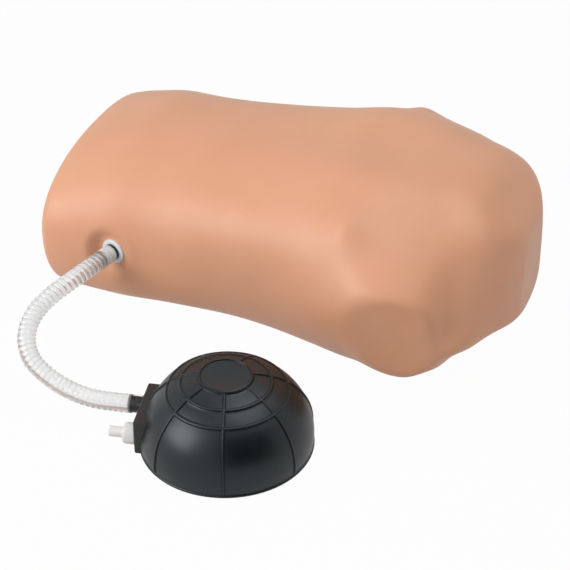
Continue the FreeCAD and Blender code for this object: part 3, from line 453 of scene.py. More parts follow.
def torso_point(distance, angle, inset=0):
    """One point of the torso's surface, at a distance from the waist and an angle round it."""
    across, rise = math.cos(angle), math.sin(angle)
    middle = along(MIDDLE_HEIGHTS, distance)
    top_or_back = TOP_HEIGHTS if rise > 0 else BACK_HEIGHTS
    roundness = ROUNDNESS + NECK_ROUNDER * ease(*NECK_ROUNDER_FROM_TO, distance)
    y = (along(HALF_WIDTHS, distance) - inset) * abs(across) ** (2 / roundness)
    reach = abs(along(top_or_back, distance) - middle) - inset
    z = middle + reach * math.copysign(abs(rise) ** (2 / roundness), rise)
    z += front_relief(distance, y) * max(0, rise) ** 0.5
    point = softly_cut(Vector((distance, y, z)), NECK_SLOPE, NECK_SLOPE_THROUGH,
                       NECK_SLOPE_EDGE, inset, in_slice=True)
    point = softly_cut(point, SHOULDER_SLOPE, SHOULDER_SLOPE_THROUGH, SHOULDER_SLOPE_EDGE, inset)
    point.y += arm_stub(point.x, point.z, inset) * ease(*STUB_ROUND_BODY, abs(across))
    point = softly_cut(point, SHOULDER_TOP, SHOULDER_TOP_THROUGH, SHOULDER_TOP_EDGE, inset)
    face_edge = STUB_EDGE + STUB_WAIST_EDGE * (1 - ease(*STUB_EDGE_FROM_TO, point.x))
    point = softly_cut(point, STUB_FACE, STUB_FACE_THROUGH, face_edge, inset)
    pocket = POCKET_DEPTH * hump((point - POCKET_PLACE).length, POCKET_REACH)
    point -= POCKET_DIRECTION * pocket
    x, y, z = WAIST_X + point.x, math.copysign(max(0, point.y), across), point.z
    if y < 0:
        y = on_port_seat(x, y, z, inset)
    return Vector((x, y, z)) / 1000


print("the chest is", round(torso_point(PEC_FROM_WAIST, math.pi / 2).z * 1000), "mm high")

# %% [markdown]
# ## The skin
# A flat grid is rolled up into the body: one direction of the grid runs from waist to neck,
# the other round the body. The rims at both ends turn in over a 12 mm radius, and the ends
# are closed. A plane at the floor's height cuts the back flat, as the soft back of the real
# one settles on a table.

# %% Skin
RING_SIDES, STATIONS = 224, 150
RIM_ROUND, RIM_SHARE = 12, 0.06


def station_at(share):
    """The distance from the waist and the inset at a share of the grid's length.

    Each rim takes up the rim's share of the grid."""
    for near, sign, end in ((share, 1, 0), (1 - share, -1, TORSO_LENGTH)):
        if near < RIM_SHARE:
            turn = math.pi / 2 * near / RIM_SHARE
            return (end + sign * RIM_ROUND * (1 - math.cos(turn)),
                    RIM_ROUND * (1 - math.sin(turn)))
    middle_share = (share - RIM_SHARE) / (1 - 2 * RIM_SHARE)
    return RIM_ROUND + (TORSO_LENGTH - 2 * RIM_ROUND) * middle_share, 0


def close_holes(drawing):
    """Fills each open rim with a face."""
    rims = [edge for edge in drawing.edges if edge.is_boundary]
    bmesh.ops.holes_fill(drawing, edges=rims, sides=0)


drawing = bmesh.new()
bmesh.ops.create_grid(drawing, x_segments=STATIONS, y_segments=RING_SIDES, size=1)
for vertex in drawing.verts:
    distance, inset = station_at((vertex.co.x + 1) / 2)
    vertex.co = torso_point(distance, math.pi * vertex.co.y - math.pi / 2, inset)
    if distance in (0, TORSO_LENGTH):
        vertex.co.x = (WAIST_X + distance) / 1000
bmesh.ops.remove_doubles(drawing, verts=drawing.verts, dist=MERGE_DISTANCE)
close_holes(drawing)
bmesh.ops.bisect_plane(drawing, geom=drawing.verts[:] + drawing.edges[:] + drawing.faces[:],
                       plane_co=(0, 0, 0), plane_no=(0, 0, -1), clear_outer=True)
close_holes(drawing)
bmesh.ops.recalc_face_normals(drawing, faces=drawing.faces)
skin = finished(drawing, "soft_skin", "manikin", smooth_below=55)
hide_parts("torso_skin")

# %% [markdown]
# The back panel closes a recess with rounded corners, and the port's tube passes through a
# round hole. Both shapes are drawn as one cutter and taken out of the skin together. The
# recess's cutter reaches as far below the floor as above it, so no thin face is left there.

# %% Openings in the skin
RECESS_SIZE, RECESS_CORNER, CORNER_STEPS = (0.2506, 0.1106, 0.0064), 0.014, 8
PORT_HOLE_RADIUS, PORT_HOLE_DEPTH = 0.0092, 0.08

drawing = bmesh.new()
bmesh.ops.create_cube(drawing, size=1)
bmesh.ops.scale(drawing, vec=RECESS_SIZE, verts=drawing.verts)
upright = [edge for edge in drawing.edges
           if abs(edge.verts[0].co.z - edge.verts[1].co.z) > RECESS_SIZE[2] / 2]
bmesh.ops.bevel(drawing, geom=upright, offset=RECESS_CORNER, segments=CORNER_STEPS,
                affect="EDGES", profile=0.5)
hole = bmesh.ops.create_cone(drawing, cap_ends=True, segments=48, radius1=PORT_HOLE_RADIUS,
                             radius2=PORT_HOLE_RADIUS, depth=PORT_HOLE_DEPTH)["verts"]
through_seat = turned_to(PORT_OUT, (PORT_X / 1000, SEAT_Y / 1000, PORT_Z / 1000))
bmesh.ops.transform(drawing, matrix=through_seat, verts=hole)
bmesh.ops.recalc_face_normals(drawing, faces=drawing.faces)
take_out(skin, drawing, smooth_below=55)

# %% [markdown]
# ## The pump's dome
# The rubber dome is one closed profile turned round the pump's axis: down the outside from
# the dished crown to the bead on the floor plate, in under the foot, and back up the inside.
# A spin would do for a plain dome. This one has ribs, so a grid is rolled round the axis,
# and its outer rows are close together where a ring rib needs them.

# %% Dome profile
PUMP_AXIS = Vector((0.0245, -0.3165, 0))
DOME_RADIUS, DOME_TOP, BULGE_HEIGHT, DOME_CURVE = 99.5, 95, 14, 2.15
DOME_WALL, PLATE_TOP, PLATE_REACH = 4, 88.5, 26
CROWN_RADIUS, CROWN_DROP, CROWN_DISH = 30, 0.6, 2.5
CROWN_ROWS, RIM_ROWS = 12, 6
RING_RADII, RING_ZONE = (30, 51.5, 70), 2.6
OUTER_STEP, FINE_STEP, INNER_STEP, CURVE_STEPS = 2.6, 0.42, 5, 2000
FOOT_OUTSIDE = [(99.4, 11.5), (99.2, 8.5), (99.0, 6), (98.9, 4.6), (99.4, 4.1), (99.9, 3.5),
                (100, 2.4), (99.7, 1.5), (98.8, 1.1)]
FOOT_INSIDE = [(97.4, 1.3), (97.3, 4.1), (86, 4), (76, 4), (76, 7), (84, 7), (92.6, 7), (94.2, 10)]


def dome_curve(inset, start_radius, spacing):
    """Points (radius, height) on the dome's bulging curve, from a radius down to the foot."""
    wide, rise = DOME_RADIUS - inset, DOME_TOP - BULGE_HEIGHT - inset
    turns = [math.pi / 2 * i / CURVE_STEPS for i in range(CURVE_STEPS + 1)]
    curve = [(wide * math.sin(turn) ** (2 / DOME_CURVE),
              BULGE_HEIGHT + rise * math.cos(turn) ** (2 / DOME_CURVE)) for turn in turns]
    curve = [point for point in curve if point[0] >= start_radius]
    picked = [curve[0]]
    for point in curve[1:]:
        near_ring = min(abs(point[0] - ring) for ring in RING_RADII) < RING_ZONE
        if math.dist(point, picked[-1]) >= (FINE_STEP if near_ring and not inset else spacing):
            picked.append(point)
    return picked


def on_dish(radius):
    """A point on the crown's shallow dish."""
    return radius, DOME_TOP - CROWN_DROP - CROWN_DISH * (1 - (radius / CROWN_RADIUS) ** 2)


outer_rows = [on_dish(CROWN_RADIUS * i / CROWN_ROWS) for i in range(CROWN_ROWS)]
outer_rows += [on_dish(CROWN_RADIUS - RING_ZONE + FINE_STEP * i) for i in range(RIM_ROWS)]
outer_rows += dome_curve(0, CROWN_RADIUS, OUTER_STEP) + FOOT_OUTSIDE
inner_rows = FOOT_INSIDE + dome_curve(DOME_WALL, PLATE_REACH, INNER_STEP)[::-1]
inner_rows += [(radius, PLATE_TOP) for radius in (PLATE_REACH, PLATE_REACH / 2, 0)]
profile = outer_rows + inner_rows
print("the dome's profile has", len(profile), "points")

# %% [markdown]
# Seven straight ribs run down the dome and three rings go round it. The grid's columns crowd
# together near each straight rib, at set distances in millimetres, so a rib is equally wide
# and crisp from crown to foot. Near the axis those distances shrink to fit.

# %% Dome ribs
RIB_COUNT, RIB_TURN = 7, -69.5
RIB_HALF, RIB_SHOULDER, RIB_FLATNESS, RIB_SOFTNESS = 1.45, 0.6, 3.2, 1.3
RIB_OFFSETS = (-6, -3.4, -2.1, -1.7, -1.3, -0.8, 0, 0.8, 1.3, 1.7, 2.1, 3.4, 6)
BETWEEN_RIBS = 9
COLUMNS_PER_RIB = len(RIB_OFFSETS) + BETWEEN_RIBS
COLUMNS = RIB_COUNT * COLUMNS_PER_RIB
SMALLEST_RADIUS, LARGEST_SHARE = 16, 0.42


def rib_height(offset):
    """The rounded section of a rib, 1 at its middle and 0 beside it."""
    share = min(1, abs(offset) / (RIB_HALF + RIB_SHOULDER))
    return (1 - share ** RIB_FLATNESS) ** RIB_SOFTNESS


def column_angle(column, radius):
    """The angle of a column, and its distance in millimetres from the nearest straight rib."""
    rib, place = divmod(column, COLUMNS_PER_RIB)
    sector = 2 * math.pi / RIB_COUNT
    edge = min(RIB_OFFSETS[-1] / max(radius, SMALLEST_RADIUS), sector * LARGEST_SHARE)
    if place < len(RIB_OFFSETS):
        turn = edge * RIB_OFFSETS[place] / RIB_OFFSETS[-1]
    else:
        gap_share = (place - len(RIB_OFFSETS) + 1) / (BETWEEN_RIBS + 1)
        turn = edge + (sector - 2 * edge) * gap_share
    near = min(turn, sector - turn) if turn > 0 else turn
    return math.radians(RIB_TURN) + rib * sector + turn, near * radius


print("the dome has", COLUMNS, "columns for", RIB_COUNT, "ribs")

# %% [markdown]
# The valve block stands in the dome's wall. The rubber is drawn in a little on both sides
# of it and ends at it in a soft moulded lip, so both are part of the form. The ribs lift the
# outer rows along the surface's normal. How steep a rib's flank is goes into an attribute
# on the vertices, which turns the shine down there to paint dark lines of shade beside the
# ribs.

# %% Dome form
BLOCK_TURN = math.radians(191)
BLOCK_SIDE, BLOCK_HALF_WIDTH, BLOCK_TOP = 2, 37, 44
LIP_FROM, LIP_RISE, LIP_REACH = 40, 1.6, 6
DRAWN_IN, DRAWN_IN_TURN, DRAWN_IN_FROM, DRAWN_IN_UP_TO = 5, 0.62, (8, 32), (66, 90)
RIB_RISE, RIBS_START, BEAD_ROWS = 1.5, (4.5, 7), 6


def block_lip(x, y, z):
    """How far the lip round the valve block rises there."""
    outward = x * math.cos(BLOCK_TURN) + y * math.sin(BLOCK_TURN)
    side = -x * math.sin(BLOCK_TURN) + y * math.cos(BLOCK_TURN)
    if outward < LIP_FROM:
        return 0
    away = math.hypot(max(0, abs(side - BLOCK_SIDE) - BLOCK_HALF_WIDTH), max(0, z - BLOCK_TOP))
    return LIP_RISE * max(0, 1 - away / LIP_REACH) ** 2


def drawn_in(angle, height):
    """How far the wall is drawn in beside the valve block."""
    from_block = math.remainder(angle - BLOCK_TURN, 2 * math.pi)
    return (DRAWN_IN * hump(from_block, DRAWN_IN_TURN)
            * ease(*DRAWN_IN_FROM, height) * (1 - ease(*DRAWN_IN_UP_TO, height)))


def dome_vertex(row, column):
    """One point of the dome, and how steep the flank of a rib is there, from 0 to 1."""
    radius, height = profile[row]
    angle, beside = column_angle(column, radius)
    inward = drawn_in(angle, height)
    flank = 0
    if row < len(outer_rows) - BEAD_ROWS:
        before, after = profile[max(0, row - 1)], profile[row + 1]
        down = Vector(after) - Vector(before)
        down.normalize()
        straight = rib_height(beside) if radius > CROWN_RADIUS - 1 else 0
        ribbed = max([straight] + [rib_height(radius - ring) for ring in RING_RADII])
        # the flank's steepness drives painted shade: the dome's finish turns the shine down there
        flank = min(1, 4 * ribbed * (1 - ribbed))
        lift = RIB_RISE * ribbed * ease(*RIBS_START, height)
        lift += block_lip(radius * math.cos(angle), radius * math.sin(angle), height)
        radius, height = radius - down.y * lift, height + down.x * lift
    radius -= inward
    place = Vector((radius * math.cos(angle), radius * math.sin(angle), height))
    return PUMP_AXIS + place / 1000, flank


drawing = bmesh.new()
bmesh.ops.create_grid(drawing, x_segments=len(profile) - 1, y_segments=COLUMNS, size=1)
rib_flank_shade = drawing.verts.layers.float.new("rib_flank_shade")
for vertex in drawing.verts:
    row = round((vertex.co.x + 1) / 2 * (len(profile) - 1))
    column = round((vertex.co.y + 1) / 2 * COLUMNS) % COLUMNS
    vertex.co, vertex[rib_flank_shade] = dome_vertex(row, column)
bmesh.ops.remove_doubles(drawing, verts=drawing.verts, dist=MERGE_DISTANCE)
bmesh.ops.recalc_face_normals(drawing, faces=drawing.faces)
dome = finished(drawing, "rubber_dome", None, smooth_below=55)

# %% [markdown]
# The valve block passes through the wall, so a box a hair larger than the block is taken
# out of the dome.

# %% Opening for the valve block
OPENING_SIZE = (0.0445, 0.0744, 0.046)
OPENING_MIDDLE = (0.08735, 0.002, 0.0213)

drawing = bmesh.new()
bmesh.ops.create_cube(drawing, size=1)
bmesh.ops.scale(drawing, vec=OPENING_SIZE, verts=drawing.verts)
bmesh.ops.translate(drawing, vec=OPENING_MIDDLE, verts=drawing.verts)
bmesh.ops.rotate(drawing, cent=(0, 0, 0), matrix=Matrix.Rotation(BLOCK_TURN, 3, "Z"),
                 verts=drawing.verts)
bmesh.ops.translate(drawing, vec=PUMP_AXIS, verts=drawing.verts)
take_out(dome, drawing, smooth_below=50)
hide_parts("pump_dome")
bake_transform(dome)

# %% [markdown]
# ## The return spring
# The spring is wound as a helix of small rings, swept like the hose. Its ends run flat for
# three quarters of a turn, as those of a real compression spring do.

# %% Spring
SPRING_RADIUS, SPRING_WIRE, SPRING_TURNS = 0.020, 0.0032, 5
SPRING_BOTTOM, SPRING_TOP, CLOSED_TURNS = 0.0056, 0.0839, 0.75
STEPS_PER_TURN, WIRE_STEP, WIRE_SIDES = 40, 0.003, 16


def spring_height(turn):
    """The height of the wire's middle after that many turns, closed up at both ends."""
    open_height = SPRING_TOP - SPRING_BOTTOM - 2 * SPRING_WIRE * CLOSED_TURNS
    pitch = open_height / (SPRING_TURNS - 2 * CLOSED_TURNS)
    if turn < CLOSED_TURNS:
        return SPRING_BOTTOM + SPRING_WIRE * turn
    if turn > SPRING_TURNS - CLOSED_TURNS:
        return SPRING_TOP - SPRING_WIRE * (SPRING_TURNS - turn)
    return SPRING_BOTTOM + SPRING_WIRE * CLOSED_TURNS + pitch * (turn - CLOSED_TURNS)


spring_line = []
for i in range(SPRING_TURNS * STEPS_PER_TURN + 1):
    turn = i / STEPS_PER_TURN
    outward = Vector((math.cos(2 * math.pi * turn), math.sin(2 * math.pi * turn), 0))
    spring_line.append(PUMP_AXIS + outward * SPRING_RADIUS + Vector((0, 0, spring_height(turn))))
drawing = bmesh.new()
for ring in swept_wall(drawing, spring_line, WIRE_STEP, WIRE_SIDES, lambda *_: SPRING_WIRE / 2):
    bmesh.ops.contextual_create(drawing, geom=ring_edges(ring))
bmesh.ops.recalc_face_normals(drawing, faces=drawing.faces)
spring = finished(drawing, "wound_spring", "manikin", smooth_below=50)
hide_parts("return_spring")
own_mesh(spring)

# %% [markdown]
# ## Finishes
# Each finish is a Principled shader with its own noise. Two effects are shared by all of
# them, so they are node groups with named inputs: an uneven tint, which varies a colour
# slightly, and a moulded grain, which is a fine bump.

# %% Node helpers
def new_group(name, inputs, outputs):
    """A shader node group with these sockets, and its input and output nodes."""
    group = bpy.data.node_groups.new(name, "ShaderNodeTree")
    for label, kind, value in inputs:
        socket = group.interface.new_socket(name=label, in_out="INPUT", socket_type=kind)
        socket.default_value = value
    for label, kind in outputs:
        group.interface.new_socket(name=label, in_out="OUTPUT", socket_type=kind)
    print("a group:", name)
    return group, group.nodes.new("NodeGroupInput"), group.nodes.new("NodeGroupOutput")


def node(tree, kind, **values):
    """A new node with its settings and the values of its inputs."""
    made = tree.nodes.new(kind)
    for key, value in values.items():
        if hasattr(made, key):
            setattr(made, key, value)
        else:
            made.inputs[key.replace("_", " ")].default_value = value
    return made


# %% [markdown]
# Moulded vinyl and rubber are never one flat colour. A soft noise on Object coordinates
# mixes two nearby colours, so the patches keep their place on the piece.

# %% Uneven tint
tint_group, tint_in, tint_out = new_group(
    "uneven_tint",
    [("Color", "NodeSocketColor", (0.5, 0.5, 0.5, 1)),
     ("Second Color", "NodeSocketColor", (0.5, 0.5, 0.5, 1)),
     ("Patch Size", "NodeSocketFloat", 20.0), ("Amount", "NodeSocketFloat", 0.5)],
    [("Color", "NodeSocketColor")])
place = node(tint_group, "ShaderNodeTexCoord")
patches = node(tint_group, "ShaderNodeTexNoise", Detail=4.0, Roughness=0.55)
spread = node(tint_group, "ShaderNodeMapRange", From_Min=0.35, From_Max=0.65)
amount = node(tint_group, "ShaderNodeMath", operation="MULTIPLY")
mix = node(tint_group, "ShaderNodeMix", data_type="RGBA")
links = tint_group.links
links.new(place.outputs["Object"], patches.inputs["Vector"])
links.new(tint_in.outputs["Patch Size"], patches.inputs["Scale"])
links.new(patches.outputs["Fac"], spread.inputs["Value"])
links.new(spread.outputs["Result"], amount.inputs[0])
links.new(tint_in.outputs["Amount"], amount.inputs[1])
links.new(amount.outputs["Value"], mix.inputs["Factor"])
links.new(tint_in.outputs["Color"], mix.inputs[6])
links.new(tint_in.outputs["Second Color"], mix.inputs[7])
links.new(mix.outputs[2], tint_out.inputs["Color"])

# %% [markdown]
# A mould leaves a fine grain, and handling leaves some places shinier than others. A small
# noise gives the height of a bump, and a larger one moves the roughness up and down.

# %% Moulded grain
grain_group, grain_in, grain_out = new_group(
    "moulded_grain",
    [("Grain Size", "NodeSocketFloat", 900.0), ("Strength", "NodeSocketFloat", 0.1),
     ("Base Roughness", "NodeSocketFloat", 0.5), ("Roughness Spread", "NodeSocketFloat", 0.08)],
    [("Normal", "NodeSocketVector"), ("Roughness", "NodeSocketFloat")])
place = node(grain_group, "ShaderNodeTexCoord")
grain = node(grain_group, "ShaderNodeTexNoise", Detail=3.0)
cloud = node(grain_group, "ShaderNodeTexNoise", Scale=35.0, Detail=5.0)
bump = node(grain_group, "ShaderNodeBump", Distance=0.0004)
spread = node(grain_group, "ShaderNodeMath", operation="MULTIPLY_ADD")
centred = node(grain_group, "ShaderNodeMath", operation="SUBTRACT")
centred.inputs[1].default_value = 0.5
links = grain_group.links
links.new(place.outputs["Object"], grain.inputs["Vector"])
links.new(place.outputs["Object"], cloud.inputs["Vector"])
links.new(grain_in.outputs["Grain Size"], grain.inputs["Scale"])
links.new(grain.outputs["Fac"], bump.inputs["Height"])
links.new(grain_in.outputs["Strength"], bump.inputs["Strength"])
links.new(cloud.outputs["Fac"], centred.inputs[0])
links.new(centred.outputs["Value"], spread.inputs[0])
links.new(grain_in.outputs["Roughness Spread"], spread.inputs[1])
links.new(grain_in.outputs["Base Roughness"], spread.inputs[2])
links.new(bump.outputs["Normal"], grain_out.inputs["Normal"])
links.new(spread.outputs["Value"], grain_out.inputs["Roughness"])

# %% [markdown]
# ### One recipe, many finishes
# A finish needs two nearby colours, the size of their patches, a grain and a roughness.
# Colours are written as the eye sees them and changed to linear light. Values that are the
# same all over a surface, such as how clear it is, go straight to the shader.

# %% Finish helpers
def as_seen(red, green, blue):
    """A colour given as display values from 0 to 255, in linear light."""
    values = []
    for value in (red, green, blue):
        share = value / 255
        values.append(share / 12.92 if share <= 0.04045 else ((share + 0.055) / 1.055) ** 2.4)
    return (*values, 1)


def shader_of(material):
    """The material's Principled shader."""
    return material.node_tree.nodes["Principled BSDF"]


def moulded(name, colour, second, patch=20.0, amount=0.5, grain_size=900.0, grain=0.1,
            roughness=0.5, spread=0.08, **shader_values):
    """A Principled material with an uneven tint and a fine moulded grain."""
    material = bpy.data.materials.new(name)
    material.use_nodes = True
    tree = material.node_tree
    shader = shader_of(material)
    tint = node(tree, "ShaderNodeGroup", node_tree=tint_group)
    surface = node(tree, "ShaderNodeGroup", node_tree=grain_group)
    for group_node, values in (
            (tint, {"Color": colour, "Second Color": second, "Patch Size": patch,
                    "Amount": amount}),
            (surface, {"Grain Size": grain_size, "Strength": grain, "Base Roughness": roughness,
                       "Roughness Spread": spread})):
        for label, value in values.items():
            group_node.inputs[label].default_value = value
    tree.links.new(tint.outputs["Color"], shader.inputs["Base Color"])
    tree.links.new(surface.outputs["Roughness"], shader.inputs["Roughness"])
    tree.links.new(surface.outputs["Normal"], shader.inputs["Normal"])
    for key, value in shader_values.items():
        shader.inputs[key.replace("_", " ")].default_value = value
    return material


def dress(material, *pieces):
    """Gives a finish to new pieces, and to solids that stay in sight, named by their node."""
    for piece in pieces:
        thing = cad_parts[piece] if isinstance(piece, str) else piece
        thing.data.materials.clear()
        thing.data.materials.append(material)
    print("finish:", material.name, "on", len(pieces))


# %% [markdown]
# Soft vinyl skin lets a little light in and scatters it, red furthest, which softens the
# shadows. Its gloss is satin, so that white surroundings don't wash it out.

# %% Skin finish
skin_vinyl = moulded("skin_vinyl", as_seen(225, 166, 133), as_seen(220, 160, 124), patch=9.0,
                     amount=0.7, grain_size=700.0, grain=0.06, roughness=0.42, spread=0.1,
                     Specular_IOR_Level=0.36, Subsurface_Weight=0.12, Subsurface_Scale=0.006,
                     Subsurface_Radius=(1.0, 0.4, 0.25))
dress(skin_vinyl, skin)

# %% [markdown]
# The hose is clear plastic, so most light goes through it and bends. Its three parts get
# finishes that differ only in how clear they are and how far they bend light. The end that
# is stretched over the pump's barb is thin: it hardly bends light, so the black barb shows.
# The cuff at the port is cloudy and hides the spigot. They are added in the order of the
# marks on the faces.

# %% Hose finish
for name, clear, bending in (("clear_hose", 0.86, 1.4), ("stretched_hose", 1.0, 1.12),
                             ("cloudy_cuff", 0.46, 1.4)):
    hose.data.materials.append(moulded(
        name, as_seen(252, 252, 252), as_seen(246, 247, 247), patch=120.0, grain_size=500.0,
        grain=0.02, roughness=0.13, spread=0.05, Transmission_Weight=clear, IOR=bending))
print("the hose has", len(hose.data.materials), "finishes")

# %% [markdown]
# The dome's rubber is near black with a soft, slightly cool shine. The attribute drawn with
# the dome turns the shine down on the flanks of its ribs: painted shade, for dark lines there.

# %% Dome finish
# The second value is the lowered shine that paints shade on the rib flanks.
FACE_SHINE, SHADED_FLANK_SHINE = 0.5, 0.1

dome_rubber = moulded("dome_rubber", as_seen(20, 24, 27), as_seen(14, 16, 18), patch=16.0,
                      amount=0.7, grain_size=1400.0, grain=0.12, roughness=0.36, spread=0.12,
                      Specular_IOR_Level=FACE_SHINE, Specular_Tint=(0.84, 0.94, 1.0, 1))
tree = dome_rubber.node_tree
# Painted shade: less shine on the rib flanks makes them show as dark lines beside the ribs.
flank = node(tree, "ShaderNodeAttribute", attribute_name="rib_flank_shade")
painted_rib_shade = node(tree, "ShaderNodeMapRange", To_Min=FACE_SHINE, To_Max=SHADED_FLANK_SHINE)
tree.links.new(flank.outputs["Fac"], painted_rib_shade.inputs["Value"])
tree.links.new(painted_rib_shade.outputs["Result"], shader_of(dome_rubber).inputs["Specular IOR Level"])
dress(dome_rubber, dome)

# %% [markdown]
# The hard parts of the pump and the port are moulded plastic: black, white or, at the
# intake, milky and a little see-through. The screws are zinc plated, and the gasket and the
# valve flaps are soft rubber.

# %% Pump and port finishes
black_plastic = moulded("black_plastic", as_seen(27, 26, 25), as_seen(22, 22, 22), patch=30.0,
                        grain_size=1100.0, roughness=0.48)
white_plastic = moulded("white_plastic", as_seen(232, 238, 242), as_seen(226, 231, 236),
                        patch=40.0, grain=0.03, roughness=0.3)
milky_plastic = moulded("milky_plastic", as_seen(254, 253, 251), as_seen(240, 238, 236),
                        patch=300.0, grain_size=700.0, grain=0.25, roughness=0.35,
                        Transmission_Weight=0.3, IOR=1.4)
gasket_rubber = moulded("gasket_rubber", as_seen(44, 44, 45), as_seen(36, 36, 38),
                        roughness=0.62)
zinc_steel = moulded("zinc_steel", as_seen(196, 198, 202), as_seen(176, 178, 184), patch=220.0,
                     grain=0.05, roughness=0.32, Metallic=1.0)
spring_steel = moulded("spring_steel", as_seen(150, 150, 152), as_seen(112, 112, 116),
                       patch=120.0, grain=0.05, roughness=0.36, Metallic=1.0)

dress(black_plastic, "port_spigot", "port_nut", "pump_base", "clamp_ring", "spring_plate",
      "valve_block", "hose_spigot")
dress(white_plastic, "port_flange", "outlet_cage", "intake_cage")
dress(milky_plastic, "intake_nozzle")
dress(gasket_rubber, "port_gasket", "outlet_flap", "intake_flap")
dress(zinc_steel, "panel_screws", "clamp_screws", "block_screws")
dress(spring_steel, spring)

# %% [markdown]
# Inside the torso are open-celled foam, latex bladders, clear lines and a plain manifold,
# and its back is closed with a panel in a duller tone of the skin. They show when the part
# is opened, so each has its own finish too.

# %% Finishes inside and at the back
panel_plastic = moulded("panel_plastic", as_seen(206, 156, 130), as_seen(198, 148, 122),
                        patch=30.0, grain=0.3, roughness=0.55)
manifold_plastic = moulded("manifold_plastic", as_seen(226, 226, 222), as_seen(216, 216, 210),
                           patch=40.0, roughness=0.42)
bladder_latex = moulded("bladder_latex", as_seen(196, 96, 84), as_seen(180, 80, 70), patch=50.0,
                        roughness=0.38, Subsurface_Weight=0.1, Subsurface_Scale=0.004)
line_tube = moulded("line_tube", as_seen(236, 238, 238), as_seen(228, 231, 232), patch=60.0,
                    grain=0.02, roughness=0.15, Transmission_Weight=0.8, IOR=1.42)
foam = moulded("foam", as_seen(226, 208, 168), as_seen(206, 184, 140), patch=260.0, amount=0.8,
               grain_size=420.0, grain=0.9, roughness=0.9, spread=0.05)

dress(panel_plastic, "back_panel")
dress(manifold_plastic, "air_manifold")
dress(bladder_latex, "front_bladder_right", "front_bladder_left", "side_bladder_right",
      "side_bladder_left")
dress(line_tube, "inlet_line", "front_line_right", "front_line_left", "side_line_right",
      "side_line_left")
dress(foam, "foam_core")
print("there are", len(bpy.data.materials), "materials")

# %% [markdown]
# ## The studio
# The object lies on a white table in soft light. More light would make the table white but
# burn out the object too. Instead, rays straight from the camera or through clear parts see
# plain white, reflections see a share of it, and all other light meets an ordinary surface.
# The floor shows that surface a little, and with it the object's shadow.

# %% White only where it is looked at
def share_of_white(tree, in_reflections):
    """1 for rays from the camera and through clear parts, less in reflections, 0 for others."""
    path = node(tree, "ShaderNodeLightPath")
    looked_at = node(tree, "ShaderNodeMath", operation="MAXIMUM")
    reflected = node(tree, "ShaderNodeMath", operation="MULTIPLY")
    reflected.inputs[1].default_value = in_reflections
    either = node(tree, "ShaderNodeMath", operation="MAXIMUM")
    tree.links.new(path.outputs["Is Camera Ray"], looked_at.inputs[0])
    tree.links.new(path.outputs["Is Transmission Ray"], looked_at.inputs[1])
    tree.links.new(path.outputs["Is Glossy Ray"], reflected.inputs[0])
    tree.links.new(looked_at.outputs[0], either.inputs[0])
    tree.links.new(reflected.outputs[0], either.inputs[1])
    return either.outputs[0]


def mixed(tree, share, first, second, output_kind):
    """Joins two shaders by a share and sends them to the tree's output."""
    mix = node(tree, "ShaderNodeMixShader")
    tree.links.new(share, mix.inputs["Fac"])
    tree.links.new(first.outputs[0], mix.inputs[1])
    tree.links.new(second.outputs[0], mix.inputs[2])
    tree.links.new(mix.outputs[0], node(tree, output_kind).inputs["Surface"])


# %% [markdown]
# The floor is one large pale face, a hair below the object, so the two never share a plane.

# %% Floor
FLOOR_HALF_SIZE, FLOOR_GAP = 6, 0.0005
FLOOR_TONE = (0.62, 0.6, 0.58, 1)
FLOOR_WHITE, FLOOR_IN_REFLECTIONS = 0.97, 0.7

drawing = bmesh.new()
bmesh.ops.create_grid(drawing, x_segments=1, y_segments=1, size=FLOOR_HALF_SIZE)
floor = in_scene("studio_floor", mesh_of(drawing, "studio_floor"))
floor.location.z = solids_box[0][2] - FLOOR_GAP

floor_material = bpy.data.materials.new("studio_floor")
floor_material.use_nodes = True
tree = floor_material.node_tree
tree.nodes.clear()
share = node(tree, "ShaderNodeMath", operation="MULTIPLY")
share.inputs[1].default_value = FLOOR_WHITE
tree.links.new(share_of_white(tree, FLOOR_IN_REFLECTIONS), share.inputs[0])
mixed(tree, share.outputs[0], node(tree, "ShaderNodeBsdfDiffuse", Color=FLOOR_TONE),
      node(tree, "ShaderNodeEmission", Strength=1.0), "ShaderNodeOutputMaterial")
floor.data.materials.append(floor_material)
print("the floor lies at", round(floor.location.z * 1000, 1), "mm")

# %% [markdown]
# The world sends a soft light from all round, as white walls would, and fills the shadows.

# %% World
SOFT_LIGHT, WORLD_IN_REFLECTIONS = 0.36, 0.62

world = bpy.data.worlds.new("studio_world")
world.use_nodes = True
bpy.context.scene.world = world
tree = world.node_tree
tree.nodes.clear()
mixed(tree, share_of_white(tree, WORLD_IN_REFLECTIONS),
      node(tree, "ShaderNodeBackground", Color=(1, 1, 1, 1), Strength=SOFT_LIGHT),
      node(tree, "ShaderNodeBackground", Color=(1, 1, 1, 1), Strength=1.0),
      "ShaderNodeOutputWorld")

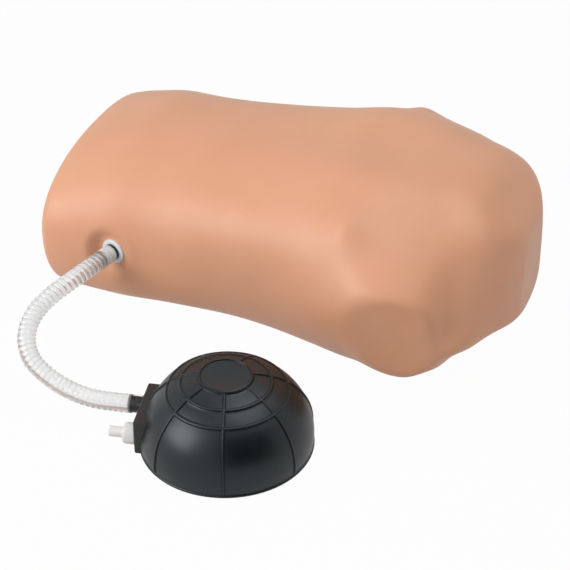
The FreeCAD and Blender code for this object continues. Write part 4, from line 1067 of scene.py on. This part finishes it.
# %% [markdown]
# A large softbox at the waist's side gives the broad light on the flank and the shine on
# the dome. A weaker one overhead lifts the front, and a faint one lights the neck's end, but
# isn't mirrored. Large lamps close by make soft shadows.

# %% Lamps
TORSO_MIDDLE, NECK_END = (0, -0.05, 0.1), (0.2, -0.05, 0.1)


def softbox(name, place, aim, width, height, power):
    """A rectangular area lamp that looks at a point."""
    data = bpy.data.lights.new(name, "AREA")
    data.shape = "RECTANGLE"
    data.size = width
    data.size_y = height
    data.energy = power
    lamp = in_scene(name, data)
    lamp.location = place
    lamp.rotation_euler = aimed(Vector(aim) - Vector(place), "-Z").to_euler()
    print(name, "gives", power, "W")
    return lamp


softbox("key_softbox", (-1.6, -1.7, 1.35), TORSO_MIDDLE, width=1.6, height=1.6, power=42)
softbox("top_softbox", (0.6, 0.2, 2.2), TORSO_MIDDLE, width=1.8, height=1.4, power=16)
fill = softbox("neck_fill", (1.7, -0.7, 1.0), NECK_END, width=0.9, height=0.9, power=2.5)
fill.visible_glossy = False

# %% [markdown]
# A black flag stands to the right of the picture. Only reflections see it: it gives the
# dark soft spot on the dome, as a dark studio wall does in a product photograph.

# %% Black flag
FLAG_HALF_SIZE, FLAG_FACES, FLAG_PLACE = 0.85, (-0.72, 0.60, -0.36), (0.91, -1.07, 0.50)

drawing = bmesh.new()
bmesh.ops.create_grid(drawing, x_segments=1, y_segments=1, size=FLAG_HALF_SIZE)
bmesh.ops.transform(drawing, matrix=turned_to(FLAG_FACES, FLAG_PLACE), verts=drawing.verts)
flag = in_scene("black_flag", mesh_of(drawing, "black_flag"))
flag_material = bpy.data.materials.new("black_flag")
flag_material.use_nodes = True
shader_of(flag_material).inputs["Base Color"].default_value = (0, 0, 0, 1)
shader_of(flag_material).inputs["Specular IOR Level"].default_value = 0
flag.data.materials.append(flag_material)
flag.visible_camera = flag.visible_diffuse = False
flag.visible_transmission = flag.visible_shadow = False

# %% [markdown]
# ## The colour view
# The Standard view shows colours as they are written.

# %% Colour view
bpy.context.scene.view_settings.view_transform = "Standard"
